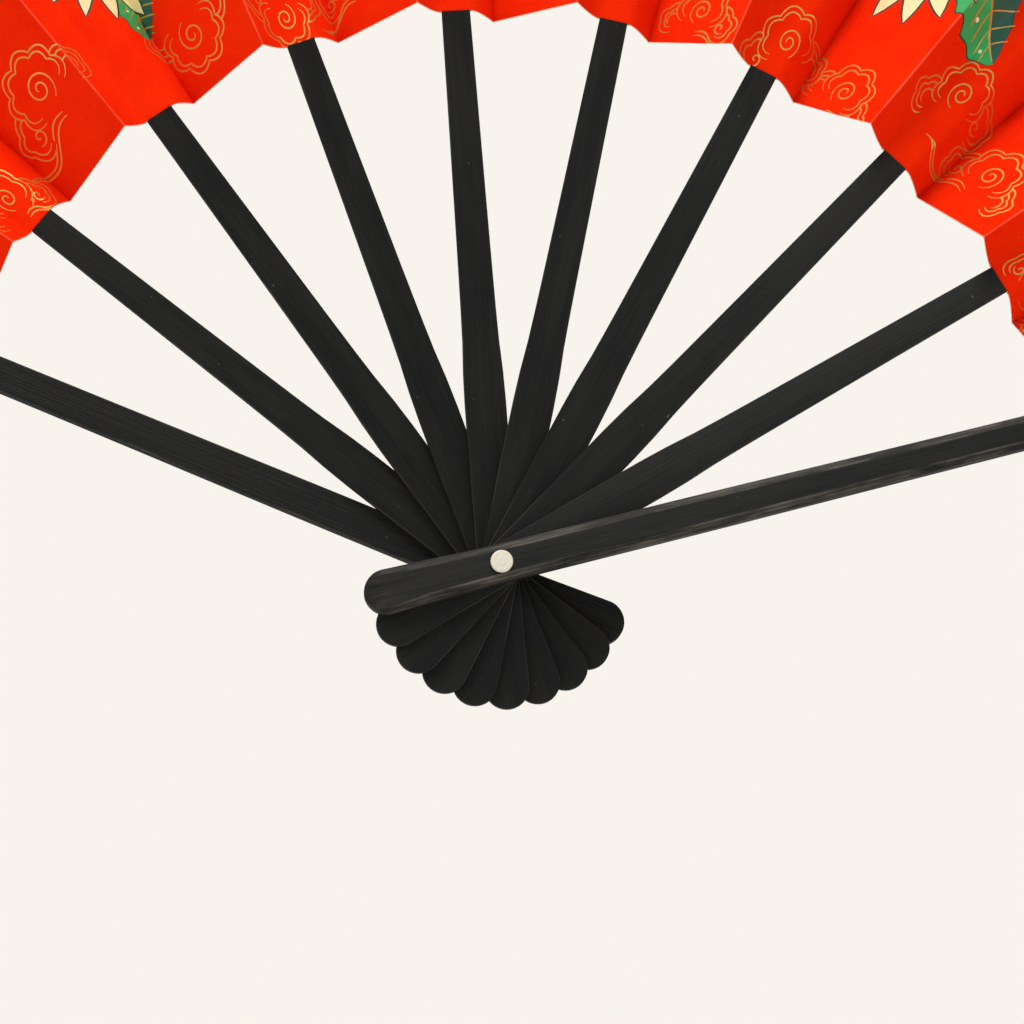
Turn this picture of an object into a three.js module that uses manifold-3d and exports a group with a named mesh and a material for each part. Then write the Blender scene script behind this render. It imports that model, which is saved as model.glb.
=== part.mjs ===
// Folding fan, fully open and standing upright. Millimetres, +Z up, the painted side facing -Y.
// The origin is the centre of the rivet's front head. The rivet's axis runs along +Y, and every
// stick turns about it. Sticks are numbered from the front of the stack to the back, which is
// also from right to left: front guard, ribs 1 to 8, rear guard.

import * as THREE from 'three';
import { mergeVertices } from 'three/addons/utils/BufferGeometryUtils.js';
import Module from 'manifold-3d';

const wasm = await Module();
wasm.setup();

// ---------------------------------------------------------------- driving dimensions

// Spread
const RIB_COUNT = 8;
const OPEN_PITCH_DEG = 15.9; // angle between neighbouring sticks when the leaf is taut

// Leaf, measured in the fan's plane from the rivet's axis
const LEAF_INNER_RADIUS = 109;
const LEAF_OUTER_RADIUS = 263;
const FOLD_HEIGHT_AT_INNER_EDGE = 6.3; // fold line to its stick's plane, at the leaf's inner edge
const PLY_THICKNESS = 0.2;
const GLUE_LINE = 0.1; // between the front ply and the back ply
const FOLD_GAP = 0.3; // between two panels that meet at a fold

// Guards: full widths at named places along the stick
const GUARD_THICKNESS = 3.4;
const GUARD_TAIL_LENGTH = 25.5;
const GUARD_TIP_PAST_LEAF = 2;
const GUARD_TAIL_WIDTH = 8.3;
const GUARD_PIVOT_WIDTH = 7.0;
const GUARD_WAIST_WIDTH = 6.8;
const GUARD_LEAF_WIDTH = 6.1; // at the leaf's inner edge
const GUARD_TIP_WIDTH = 5.8;
const GUARD_WAIST_RADIUS = 38;

// Ribs
const RIB_THICKNESS = 1.4;
const RIB_TAIL_LENGTH = 25.5;
const RIB_TAIL_WIDTH = 8.3;
const RIB_PIVOT_WIDTH = 7.4;
const RIB_BELLY_WIDTH = 7.7;
const RIB_NECK_WIDTH = 6.6;
const RIB_LEAF_WIDTH = 5.4; // where the rib enters the leaf
const RIB_BELLY_RADIUS = 33;
const RIB_NECK_RADIUS = 50;
const TONGUE_WIDTH = 2.8; // the thin blade between the two plies
const TONGUE_THICKNESS = 0.5;
const TONGUE_SHORT_OF_LEAF_TOP = 5;
const SHOULDER_LENGTH = 1.2; // from the rib's full width down to its tongue

// Rivet
const RIVET_HEAD_RADIUS = 2.05;
const RIVET_HEAD_HEIGHT = 0.7;
const RIVET_EDGE_ROUND = 0.35;
const RIVET_SHANK_RADIUS = 1.5;

// Clearances
const STACK_GAP = 0.2; // between two sticks, and between a guard and a rivet head
const HOLE_CLEARANCE = 0.1; // radial, shank to stick
const SLEEVE_CLEARANCE = 0.15; // tongue to ply, on every side
const RECESS_CLEARANCE = 0.1; // leaf to the guard's recessed inner face
const SHOULDER_CLEARANCE = 0.4; // rib's shoulder to the leaf's inner edge
const FLANK_CLEARANCE = 0.25; // guard's edge to the leaf's rising flank
const SLEEVE_RAMP = 0.8; // width over which the plies close beside the tongue

const ROUND_SEGMENTS = 28;
const OUTLINE_STEPS = 24;
const RADIAL_STEPS = 4; // sections of a leaf panel

// ---------------------------------------------------------------- derived sizes

const STICK_COUNT = RIB_COUNT + 2;
const PITCH = THREE.MathUtils.degToRad(OPEN_PITCH_DEG);
const SPAN = PITCH * (STICK_COUNT - 1);
const FOLD_AZIMUTH = PITCH / 4; // each gap is shared equally by stick panels and fold panel
const FOLD_RISE = FOLD_HEIGHT_AT_INNER_EDGE / LEAF_INNER_RADIUS; // fold height per radius
const HOLE_RADIUS = RIVET_SHANK_RADIUS + HOLE_CLEARANCE;

// Half heights of the laminated leaf about its middle, where glued and around a tongue
const GLUED_INNER = GLUE_LINE / 2;
const GLUED_OUTER = GLUED_INNER + PLY_THICKNESS;
const SLEEVE_INNER = TONGUE_THICKNESS / 2 + SLEEVE_CLEARANCE;
const SLEEVE_OUTER = SLEEVE_INNER + PLY_THICKNESS;
const SLEEVE_HALF_WIDTH = TONGUE_WIDTH / 2 + SLEEVE_CLEARANCE;
const FLAT_HALF_WIDTH = Math.max(
  Math.max(GUARD_LEAF_WIDTH, GUARD_TIP_WIDTH) / 2 + FLANK_CLEARANCE,
  SLEEVE_HALF_WIDTH + SLEEVE_RAMP + FLANK_CLEARANCE,
);

// The stack along Y, front to back
const GUARD_RECESS = GLUED_OUTER + GLUED_OUTER + RECESS_CLEARANCE - STACK_GAP / 2;
const FRONT_GUARD_Y = RIVET_HEAD_HEIGHT + STACK_GAP;
const FIRST_RIB_Y = FRONT_GUARD_Y + GUARD_THICKNESS + STACK_GAP;
const RIB_PITCH_Y = RIB_THICKNESS + STACK_GAP;
const REAR_GUARD_Y = FIRST_RIB_Y + RIB_COUNT * RIB_PITCH_Y;
const REAR_HEAD_Y = REAR_GUARD_Y + GUARD_THICKNESS + STACK_GAP;
const GUARD_TIP_RADIUS = LEAF_OUTER_RADIUS + GUARD_TIP_PAST_LEAF;

// ---------------------------------------------------------------- materials

const BLACK_BAMBOO = { color: 0x1a1f21, roughness: 0.5, metalness: 0 };
const CREAM_PLASTIC = { color: 0xeeebdf, roughness: 0.35, metalness: 0 };
const RED_PAPER = { color: 0xe02a10, roughness: 0.7, metalness: 0 };
const BACK_PAPER = { color: 0xc9200e, roughness: 0.8, metalness: 0 };

// ---------------------------------------------------------------- helpers

function toSolid(geometry) {
  const bare = geometry.index ? geometry.toNonIndexed() : geometry.clone();
  bare.deleteAttribute('normal');
  bare.deleteAttribute('uv');
  const merged = mergeVertices(bare, 1e-5);
  const mesh = new wasm.Mesh({
    numProp: 3,
    vertProperties: new Float32Array(merged.attributes.position.array),
    triVerts: new Uint32Array(merged.index.array),
  });
  return new wasm.Manifold(mesh);
}

function toGeometry(solid) {
  const mesh = solid.getMesh();
  const geometry = new THREE.BufferGeometry();
  geometry.setAttribute('position', new THREE.BufferAttribute(mesh.vertProperties, 3));
  geometry.setIndex(new THREE.BufferAttribute(mesh.triVerts, 1));
  return geometry;
}

function namedMesh(name, geometry, finish) {
  const mesh = new THREE.Mesh(geometry, new THREE.MeshStandardMaterial(finish));
  mesh.name = name;
  return mesh;
}

// A plate drawn in the stick's own plane (x across, shape y along the stick) and given its
// thickness along Y, from frontY backwards.
function plate(shape, frontY, thickness) {
  const geometry = new THREE.ExtrudeGeometry(shape, {
    depth: thickness,
    bevelEnabled: false,
    curveSegments: ROUND_SEGMENTS / 2,
  });
  geometry.rotateX(Math.PI / 2);
  geometry.translate(0, frontY + thickness, 0);
  return geometry;
}

// Half outline of a stick from the top of its round tail to its upper end, as [half width,
// distance from the rivet] stations joined by a smooth curve.
function smoothEdge(stations) {
  const points = stations.map(([half, along]) => new THREE.Vector2(half, along));
  return new THREE.SplineCurve(points).getPoints(OUTLINE_STEPS);
}

// Closed outline: round tail, curved sides, then the extra points of the upper end.
function stickShape(stations, tailLength, upperEnd) {
  const tailRadius = stations[0][0];
  const tailCentre = tailRadius - tailLength;
  const right = smoothEdge(stations);
  const shape = new THREE.Shape();
  shape.absarc(0, tailCentre, tailRadius, Math.PI, 2 * Math.PI, false);
  for (const point of right.slice(1)) shape.lineTo(point.x, point.y);
  for (const [half, along] of upperEnd) shape.lineTo(half, along);
  for (const [half, along] of [...upperEnd].reverse()) shape.lineTo(-half, along);
  for (const point of right.slice(1).reverse()) shape.lineTo(-point.x, point.y);
  const hole = new THREE.Path();
  hole.absarc(0, 0, HOLE_RADIUS, 0, 2 * Math.PI, true);
  shape.holes.push(hole);
  return shape;
}

// A stick's own group: its +Z is turned to the stick's place in the open fan, counted from the
// front guard at the right. Half numbers lie midway between two sticks.
function fanGroup(place) {
  const group = new THREE.Group();
  group.rotation.y = SPAN / 2 - place * PITCH;
  return group;
}

// ---------------------------------------------------------------- sticks

function guardGeometry(frontY, innerFaceIsBack) {
  const half = GUARD_TAIL_WIDTH / 2;
  const stations = [
    [half, half - GUARD_TAIL_LENGTH],
    [GUARD_PIVOT_WIDTH / 2, 0],
    [GUARD_WAIST_WIDTH / 2, GUARD_WAIST_RADIUS],
    [GUARD_LEAF_WIDTH / 2, LEAF_INNER_RADIUS],
    [GUARD_TIP_WIDTH / 2, GUARD_TIP_RADIUS],
  ];
  const body = toSolid(plate(stickShape(stations, GUARD_TAIL_LENGTH, []), frontY, GUARD_THICKNESS));
  const cutDepth = 2 * GUARD_RECESS; // half of it stands outside the guard
  const cutStart = LEAF_INNER_RADIUS - SHOULDER_CLEARANCE;
  const cutLength = GUARD_TIP_RADIUS - cutStart + GUARD_TIP_PAST_LEAF;
  const cut = new THREE.BoxGeometry(2 * GUARD_TAIL_WIDTH, cutDepth, cutLength);
  const innerFaceY = innerFaceIsBack ? frontY + GUARD_THICKNESS : frontY;
  cut.translate(0, innerFaceY, cutStart + cutLength / 2);
  return toGeometry(body.subtract(toSolid(cut)));
}

function ribGeometry(frontY) {
  const half = RIB_TAIL_WIDTH / 2;
  const shoulderTop = LEAF_INNER_RADIUS - SHOULDER_CLEARANCE;
  const stations = [
    [half, half - RIB_TAIL_LENGTH],
    [RIB_PIVOT_WIDTH / 2, 0],
    [RIB_BELLY_WIDTH / 2, RIB_BELLY_RADIUS],
    [RIB_NECK_WIDTH / 2, RIB_NECK_RADIUS],
    [RIB_LEAF_WIDTH / 2, shoulderTop - SHOULDER_LENGTH],
  ];
  const upperEnd = [[TONGUE_WIDTH / 2, shoulderTop]];
  const blade = toSolid(plate(stickShape(stations, RIB_TAIL_LENGTH, upperEnd), frontY, RIB_THICKNESS));
  const tongueStart = shoulderTop - 4 * SHOULDER_LENGTH; // rooted well inside the blade
  const tongueLength = LEAF_OUTER_RADIUS - TONGUE_SHORT_OF_LEAF_TOP - tongueStart;
  const tongue = new THREE.BoxGeometry(TONGUE_WIDTH, TONGUE_THICKNESS, tongueLength);
  tongue.translate(0, frontY + RIB_THICKNESS / 2, tongueStart + tongueLength / 2);
  return toGeometry(blade.add(toSolid(tongue)));
}

function rivetGeometry() {
  const flat = RIVET_HEAD_RADIUS - RIVET_EDGE_ROUND;
  const end = REAR_HEAD_Y + RIVET_HEAD_HEIGHT;
  const profile = [
    [0, 0],
    [flat, 0],
    [RIVET_HEAD_RADIUS, RIVET_EDGE_ROUND],
    [RIVET_HEAD_RADIUS, RIVET_HEAD_HEIGHT],
    [RIVET_SHANK_RADIUS, RIVET_HEAD_HEIGHT],
    [RIVET_SHANK_RADIUS, REAR_HEAD_Y],
    [RIVET_HEAD_RADIUS, REAR_HEAD_Y],
    [RIVET_HEAD_RADIUS, end - RIVET_EDGE_ROUND],
    [flat, end],
    [0, end],
  ].map(([radius, along]) => new THREE.Vector2(radius, along));
  return new THREE.LatheGeometry(profile, ROUND_SEGMENTS);
}

// ---------------------------------------------------------------- leaf

// A panel of one ply is lofted through sections from the leaf's inner edge to its outer edge. A
// station of a section is a point in the fan's plane, the leaf's middle there along Y, and the
// half heights of the ply's inner and outer faces. side is -1 for the front ply, 1 for the back
// ply. Both faces are split along the same diagonals, so the ply has one thickness all over.
function plyGeometry(sectionAt, side) {
  const positions = [];
  const triangles = [];
  const quad = (a, b, c, d) => triangles.push([a, b, c], [a, c, d]);
  const addRow = (radius) => {
    const stations = sectionAt(radius);
    for (const s of stations) positions.push([s.x, s.middle + side * s.inner, s.z]);
    for (const s of stations) positions.push([s.x, s.middle + side * s.outer, s.z]);
    return stations.length;
  };
  let width = 0;
  for (let step = 0; step <= RADIAL_STEPS; step += 1) {
    const share = step / RADIAL_STEPS;
    width = addRow(THREE.MathUtils.lerp(LEAF_INNER_RADIUS, LEAF_OUTER_RADIUS, share));
  }
  const row = 2 * width; // one section's inner points, then its outer points
  const last = width - 1;
  for (let step = 0; step < RADIAL_STEPS; step += 1) {
    const low = step * row;
    const high = low + row;
    for (let i = 0; i < last; i += 1) {
      quad(low + i, high + i, high + i + 1, low + i + 1);
      triangles.push([low + width + i, low + width + i + 1, high + width + i + 1]);
      triangles.push([low + width + i, high + width + i + 1, high + width + i]);
    }
    quad(low, low + width, high + width, high);
    quad(low + last, high + last, high + width + last, low + width + last);
  }
  const top = RADIAL_STEPS * row;
  for (let i = 0; i < last; i += 1) {
    quad(i, i + 1, width + i + 1, width + i);
    quad(top + i, top + width + i, top + width + i + 1, top + i + 1);
  }
  const facingOut = side < 0 ? triangles : triangles.map(([a, b, c]) => [a, c, b]);
  const geometry = new THREE.BufferGeometry();
  geometry.setAttribute('position', new THREE.Float32BufferAttribute(positions.flat(), 3));
  geometry.setIndex(facingOut.flat());
  return geometry;
}

function station(x, z, middle, inner, outer) {
  return { x, z, middle, inner, outer };
}

// A point on a fold line of a stick: hand is -1 for the mountain at the stick's left, which
// rises towards the front, and 1 for the valley at its right, which goes back.
function foldPoint(radius, hand, middleY) {
  return {
    x: hand * radius * Math.sin(FOLD_AZIMUTH),
    z: radius * Math.cos(FOLD_AZIMUTH),
    middle: middleY + hand * FOLD_RISE * radius,
  };
}

// A ply keeps its thickness on a slope, so its height along Y grows with the slope.
function slopedStation(from, to, keepAway) {
  const run = Math.hypot(to.x - from.x, to.z - from.z);
  const slope = (to.middle - from.middle) / run;
  const share = keepAway / run;
  const outer = GLUED_INNER + PLY_THICKNESS * Math.hypot(1, slope);
  const along = (key) => THREE.MathUtils.lerp(from[key], to[key], share);
  return station(along('x'), along('z'), along('middle'), GLUED_INNER, outer);
}

// Section of the panel on a stick: flat across the stick, around the tongue if there is one,
// and then a flank up to the mountain fold and a flank back to the valley fold.
function stickSection(radius, middleY, { tongue, mountain, valley }) {
  const flatPoint = (x) => ({ x, z: Math.sqrt(radius * radius - x * x), middle: middleY });
  const flat = (x, inner, outer) => station(x, flatPoint(x).z, middleY, inner, outer);
  const flank = (hand) => {
    const root = flatPoint(hand * FLAT_HALF_WIDTH);
    return slopedStation(foldPoint(radius, hand, middleY), root, FOLD_GAP / 2);
  };
  const rampEnd = SLEEVE_HALF_WIDTH + SLEEVE_RAMP;
  const guardEdge = GUARD_TIP_WIDTH / 2;
  const stations = [];
  if (mountain) stations.push(flank(-1), flat(-FLAT_HALF_WIDTH, GLUED_INNER, GLUED_OUTER));
  else stations.push(flat(-guardEdge, GLUED_INNER, GLUED_OUTER));
  if (tongue) {
    stations.push(flat(-rampEnd, GLUED_INNER, GLUED_OUTER));
    stations.push(flat(-SLEEVE_HALF_WIDTH, SLEEVE_INNER, SLEEVE_OUTER));
    stations.push(flat(SLEEVE_HALF_WIDTH, SLEEVE_INNER, SLEEVE_OUTER));
    stations.push(flat(rampEnd, GLUED_INNER, GLUED_OUTER));
  }
  if (valley) stations.push(flat(FLAT_HALF_WIDTH, GLUED_INNER, GLUED_OUTER), flank(1));
  else stations.push(flat(guardEdge, GLUED_INNER, GLUED_OUTER));
  return stations;
}

// Section of the panel between two sticks, from the mountain fold of the stick at its right,
// which is the one in front, to the valley fold of the stick at its left.
function foldSection(radius, frontMiddleY, rearMiddleY) {
  const right = foldPoint(radius, -1, frontMiddleY);
  const left = foldPoint(radius, 1, rearMiddleY);
  const atRight = { x: -right.x, z: right.z, middle: right.middle };
  const atLeft = { x: -left.x, z: left.z, middle: left.middle };
  return [
    slopedStation(atLeft, atRight, FOLD_GAP / 2),
    slopedStation(atRight, atLeft, FOLD_GAP / 2),
  ];
}

// ---------------------------------------------------------------- the fan

const fan = new THREE.Group();

function addAt(place, ...meshes) {
  const group = fanGroup(place);
  group.add(...meshes);
  fan.add(group);
}

const leafMiddles = [];

for (let place = 0; place < STICK_COUNT; place += 1) {
  const isFront = place === 0;
  const isRear = place === STICK_COUNT - 1;
  const ribFront = FIRST_RIB_Y + (place - 1) * RIB_PITCH_Y;
  let middleY = ribFront + RIB_THICKNESS / 2;
  if (isFront) {
    middleY = FRONT_GUARD_Y + GUARD_THICKNESS - GUARD_RECESS + RECESS_CLEARANCE + GLUED_OUTER;
    addAt(place, namedMesh('front_guard', guardGeometry(FRONT_GUARD_Y, true), BLACK_BAMBOO));
  } else if (isRear) {
    middleY = REAR_GUARD_Y + GUARD_RECESS - RECESS_CLEARANCE - GLUED_OUTER;
    addAt(place, namedMesh('rear_guard', guardGeometry(REAR_GUARD_Y, false), BLACK_BAMBOO));
  } else {
    addAt(place, namedMesh(`rib_${place}`, ribGeometry(ribFront), BLACK_BAMBOO));
  }
  leafMiddles.push(middleY);

  const stickName = isFront ? 'front_guard' : isRear ? 'rear_guard' : `rib_${place}`;
  const parts = { tongue: !isFront && !isRear, mountain: !isRear, valley: !isFront };
  const section = (radius) => stickSection(radius, middleY, parts);
  addAt(
    place,
    namedMesh(`leaf_face_${stickName}`, plyGeometry(section, -1), RED_PAPER),
    namedMesh(`leaf_back_${stickName}`, plyGeometry(section, 1), BACK_PAPER),
  );
}

for (let gap = 1; gap < STICK_COUNT; gap += 1) {
  const section = (radius) => foldSection(radius, leafMiddles[gap - 1], leafMiddles[gap]);
  addAt(
    gap - 0.5,
    namedMesh(`leaf_face_fold_${gap}`, plyGeometry(section, -1), RED_PAPER),
    namedMesh(`leaf_back_fold_${gap}`, plyGeometry(section, 1), BACK_PAPER),
  );
}

fan.add(namedMesh('rivet', rivetGeometry(), CREAM_PLASTIC));

export default fan;
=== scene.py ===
"""Folding fan: black bamboo sticks on one rivet, with a pleated red paper leaf.

The fan stands open and upright in the XZ plane, its printed side towards -Y. Every stick turns
about the rivet, which lies along Y at X = Z = 0. A place counts the sticks from the front of the
stack, which is also from right to left: 0 is the front guard and the last is the rear guard.
"""

import logging
import math
from dataclasses import dataclass, field
from enum import Enum
from typing import Iterable, Sequence, Union

import bpy
import numpy as np
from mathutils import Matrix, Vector
from mathutils.geometry import delaunay_2d_cdt


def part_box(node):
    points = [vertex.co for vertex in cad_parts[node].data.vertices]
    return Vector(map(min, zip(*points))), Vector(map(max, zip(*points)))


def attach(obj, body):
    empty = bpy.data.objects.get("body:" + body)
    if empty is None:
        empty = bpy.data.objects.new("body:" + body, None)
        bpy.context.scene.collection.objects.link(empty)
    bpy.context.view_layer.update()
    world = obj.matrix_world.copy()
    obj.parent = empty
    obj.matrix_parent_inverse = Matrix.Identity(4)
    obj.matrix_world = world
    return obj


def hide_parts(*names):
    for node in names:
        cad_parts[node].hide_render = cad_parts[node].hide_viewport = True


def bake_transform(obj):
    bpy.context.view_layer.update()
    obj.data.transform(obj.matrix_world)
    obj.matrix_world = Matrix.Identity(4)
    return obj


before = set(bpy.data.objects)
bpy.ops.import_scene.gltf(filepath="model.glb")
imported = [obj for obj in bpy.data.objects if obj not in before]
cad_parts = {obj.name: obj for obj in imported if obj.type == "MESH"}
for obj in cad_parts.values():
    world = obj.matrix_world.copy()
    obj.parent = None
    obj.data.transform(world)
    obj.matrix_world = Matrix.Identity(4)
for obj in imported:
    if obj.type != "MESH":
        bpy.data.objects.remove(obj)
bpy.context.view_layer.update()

LOG = logging.getLogger("folding_fan")
MM = 0.001
TAU = 2 * math.pi
TINY = 1e-9
MIX_LOW, MIX_RESULT = 6, 2  # the Mix node's first colour input, and its colour output

Colour = tuple[float, float, float]
Points = np.ndarray


# ------------------------------------------------------------------ node helpers


class Field:
    """A number or vector inside a node tree, which can be used in ordinary arithmetic."""

    def __init__(self, tree: bpy.types.NodeTree, socket: bpy.types.NodeSocket) -> None:
        """Hold the tree and the output that gives the value."""
        self.tree = tree
        self.socket = socket

    def math(self, operation: str, *others: "Operand", clamp: bool = False) -> "Field":
        """Put this field and the others through a Math node.

        Args:
            operation: the Math node's operation.
            others: its further inputs.
            clamp: whether the result is kept between 0 and 1.

        Returns:
            The node's result.
        """
        node = self.tree.nodes.new("ShaderNodeMath")
        node.operation = operation
        node.use_clamp = clamp
        for socket, value in zip(node.inputs, (self, *others)):
            plug(self.tree, socket, value)
        return Field(self.tree, node.outputs[0])

    def __add__(self, other: "Operand") -> "Field":
        """This field plus the other."""
        return self.math("ADD", other)

    def __sub__(self, other: "Operand") -> "Field":
        """This field minus the other."""
        return self.math("SUBTRACT", other)

    def __mul__(self, other: "Operand") -> "Field":
        """This field times the other."""
        return self.math("MULTIPLY", other)

    def __truediv__(self, other: "Operand") -> "Field":
        """This field divided by the other."""
        return self.math("DIVIDE", other)

    def clamped(self) -> "Field":
        """This field kept between 0 and 1."""
        return self.math("ADD", 0.0, clamp=True)

    def step(self, low: float, high: float) -> "Field":
        """Rise smoothly from 0 to 1 as this field goes from low to high.

        Args:
            low: where the rise starts.
            high: where it ends.

        Returns:
            The risen field.
        """
        node = self.tree.nodes.new("ShaderNodeMapRange")
        node.interpolation_type = "SMOOTHSTEP"
        plug(self.tree, node.inputs["Value"], self)
        node.inputs["From Min"].default_value = low
        node.inputs["From Max"].default_value = high
        return Field(self.tree, node.outputs["Result"])


Operand = Union[Field, float]


def plug(tree: bpy.types.NodeTree, socket: bpy.types.NodeSocket, value: Union[Operand, Sequence]) -> None:
    """Link a field to an input, or set the input to a plain value.

    Args:
        tree: the tree that holds the input.
        socket: the input.
        value: the field or the plain value.
    """
    if isinstance(value, Field):
        tree.links.new(value.socket, socket)
    else:
        socket.default_value = value


def group_tree(
    name: str, kind: str, inputs: dict[str, tuple[str, object]], outputs: dict[str, str]
) -> tuple[bpy.types.NodeTree, dict[str, Field], bpy.types.Node]:
    """Make an empty node group with named inputs and outputs.

    Args:
        name: the group's name.
        kind: GeometryNodeTree or ShaderNodeTree.
        inputs: each input's name, with its socket type and its default value or None.
        outputs: each output's name, with its socket type.

    Returns:
        The tree, its inputs as fields by name, and its output node.
    """
    tree = bpy.data.node_groups.new(name, kind)
    for label, (socket_type, default) in inputs.items():
        socket = tree.interface.new_socket(label, in_out="INPUT", socket_type=socket_type)
        if default is not None:
            socket.default_value = default
    for label, socket_type in outputs.items():
        tree.interface.new_socket(label, in_out="OUTPUT", socket_type=socket_type)
    source = tree.nodes.new("NodeGroupInput")
    sink = tree.nodes.new("NodeGroupOutput")
    return tree, {label: Field(tree, source.outputs[label]) for label in inputs}, sink


def noise(
    tree: bpy.types.NodeTree,
    vector: Field,
    waves: Sequence[float],
    detail: float = 2.0,
    roughness: float = 0.5,
) -> Field:
    """A noise pattern.

    Args:
        tree: the tree.
        vector: where the pattern is read, in metres.
        waves: how many waves it has in a metre, along each axis.
        detail: how many finer layers it has.
        roughness: how strong the finer layers are.

    Returns:
        Its value, from 0 to 1.
    """
    node = tree.nodes.new("ShaderNodeTexNoise")
    plug(tree, node.inputs["Vector"], stretched(tree, vector, waves))
    node.inputs["Scale"].default_value = 1.0
    node.inputs["Detail"].default_value = detail
    node.inputs["Roughness"].default_value = roughness
    return Field(tree, node.outputs["Fac"])


def stretched(tree: bpy.types.NodeTree, vector: Field, scale: Sequence[float]) -> Field:
    """Multiply the three parts of a vector.

    Args:
        tree: the tree.
        vector: the vector.
        scale: one factor for each part.

    Returns:
        The stretched vector.
    """
    node = tree.nodes.new("ShaderNodeVectorMath")
    node.operation = "MULTIPLY"
    plug(tree, node.inputs[0], vector)
    node.inputs[1].default_value = scale
    return Field(tree, node.outputs[0])


def mixed(
    tree: bpy.types.NodeTree, factor: Operand, low: Union[Field, Colour], high: Union[Field, Colour]
) -> Field:
    """Mix two colours.

    Args:
        tree: the tree.
        factor: the share of the high colour.
        low: the colour at 0.
        high: the colour at 1.

    Returns:
        The mixed colour.
    """
    node = tree.nodes.new("ShaderNodeMix")
    node.data_type = "RGBA"
    plug(tree, node.inputs["Factor"], factor)
    for socket, end in zip(node.inputs[MIX_LOW : MIX_LOW + 2], (low, high)):
        plug(tree, socket, (*end, 1.0) if isinstance(end, tuple) else end)
    return Field(tree, node.outputs[MIX_RESULT])


# ------------------------------------------------------------------ shared shader groups


@dataclass
class ShaderGroups:
    """The surface effects that several finishes share."""

    fibre: bpy.types.NodeTree = field(init=False)
    paper: bpy.types.NodeTree = field(init=False)
    wear_and_highlight: bpy.types.NodeTree = field(init=False)

    def __post_init__(self) -> None:
        """Build each group once."""
        self.fibre = self._fibre_group()
        self.paper = self._paper_group()
        self.wear_and_highlight = self._wear_group()

    @staticmethod
    def _fibre_group() -> bpy.types.NodeTree:
        """Split bamboo: fine fibres along V, broader bands of stain, grooves and pale specks.

        Returns:
            The group. Its noise patterns have far more waves across the stick than along it.
        """
        numbers = {"Vector": ("NodeSocketVector", None), "Groove Share": ("NodeSocketFloat", 0.3)}
        results = dict.fromkeys(("Streak", "Stain", "Speck", "Height"), "NodeSocketFloat")
        tree, given, sink = group_tree("bamboo fibre", "ShaderNodeTree", numbers, results)
        vector = given["Vector"]
        fine = noise(tree, vector, (9000, 90, 1), 3.0, 0.6)
        coarse = noise(tree, vector, (2400, 22, 1), 2.0, 0.5)
        stain = noise(tree, vector, (260, 34, 1), 3.0, 0.6)
        speck = noise(tree, vector, (1300, 700, 1), 1.0, 0.4).step(0.77, 0.82)
        groove = coarse.step(0.42, 0.6)
        height = fine * 0.5 + groove * given["Groove Share"]
        plug(tree, sink.inputs["Streak"], (fine * 0.6 + coarse * 0.4).step(0.35, 0.7))
        plug(tree, sink.inputs["Stain"], stain.step(0.35, 0.68))
        plug(tree, sink.inputs["Speck"], speck)
        plug(tree, sink.inputs["Height"], height)
        return tree

    @staticmethod
    def _paper_group() -> bpy.types.NodeTree:
        """Handmade paper: cloudy mottling, scattered long fibres and a fine tooth.

        Returns:
            The group.
        """
        results = dict.fromkeys(("Mottle", "Fibre", "Height"), "NodeSocketFloat")
        tree, given, sink = group_tree(
            "paper fibre", "ShaderNodeTree", {"Vector": ("NodeSocketVector", None)}, results
        )
        vector = given["Vector"]
        bent = noise(tree, vector, (90, 90, 1))
        warp = tree.nodes.new("ShaderNodeVectorMath")
        warp.operation = "ADD"
        plug(tree, warp.inputs[0], stretched(tree, vector, (420, 1500, 1)))
        plug(tree, warp.inputs[1], stretched(tree, bent, (7, 7, 7)))
        fibre = noise(tree, Field(tree, warp.outputs[0]), (1, 1, 1), 1.0, 0.3)
        ridge = (fibre - 0.5).math("ABSOLUTE").step(0.035, 0.0)
        tooth = noise(tree, vector, (2600, 2600, 1), 3.0, 0.65)
        mottle = noise(tree, vector, (130, 130, 1), 4.0, 0.6)
        plug(tree, sink.inputs["Mottle"], mottle.step(0.3, 0.7))
        plug(tree, sink.inputs["Fibre"], ridge)
        plug(tree, sink.inputs["Height"], tooth * 0.7 + ridge * 0.3)
        return tree

    @staticmethod
    def _wear_group() -> bpy.types.NodeTree:
        """Rubbed edges and a bevel's painted highlight: the marked edges, broken up so that the paler
        colour comes and goes.

        Returns:
            The group.
        """
        numbers = {"Vector": ("NodeSocketVector", None), "Edge": ("NodeSocketFloat", 0.0)}
        tree, given, sink = group_tree(
            "rubbed edge and bevel highlight", "ShaderNodeTree", numbers, {"Wear And Highlight": "NodeSocketFloat"}
        )
        patch = noise(tree, given["Vector"], (500, 60, 1), 4.0, 0.65)
        plug(tree, sink.inputs["Wear And Highlight"], (given["Edge"] * patch.step(0.38, 0.72)).clamped())
        return tree


# ------------------------------------------------------------------ finishes


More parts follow.
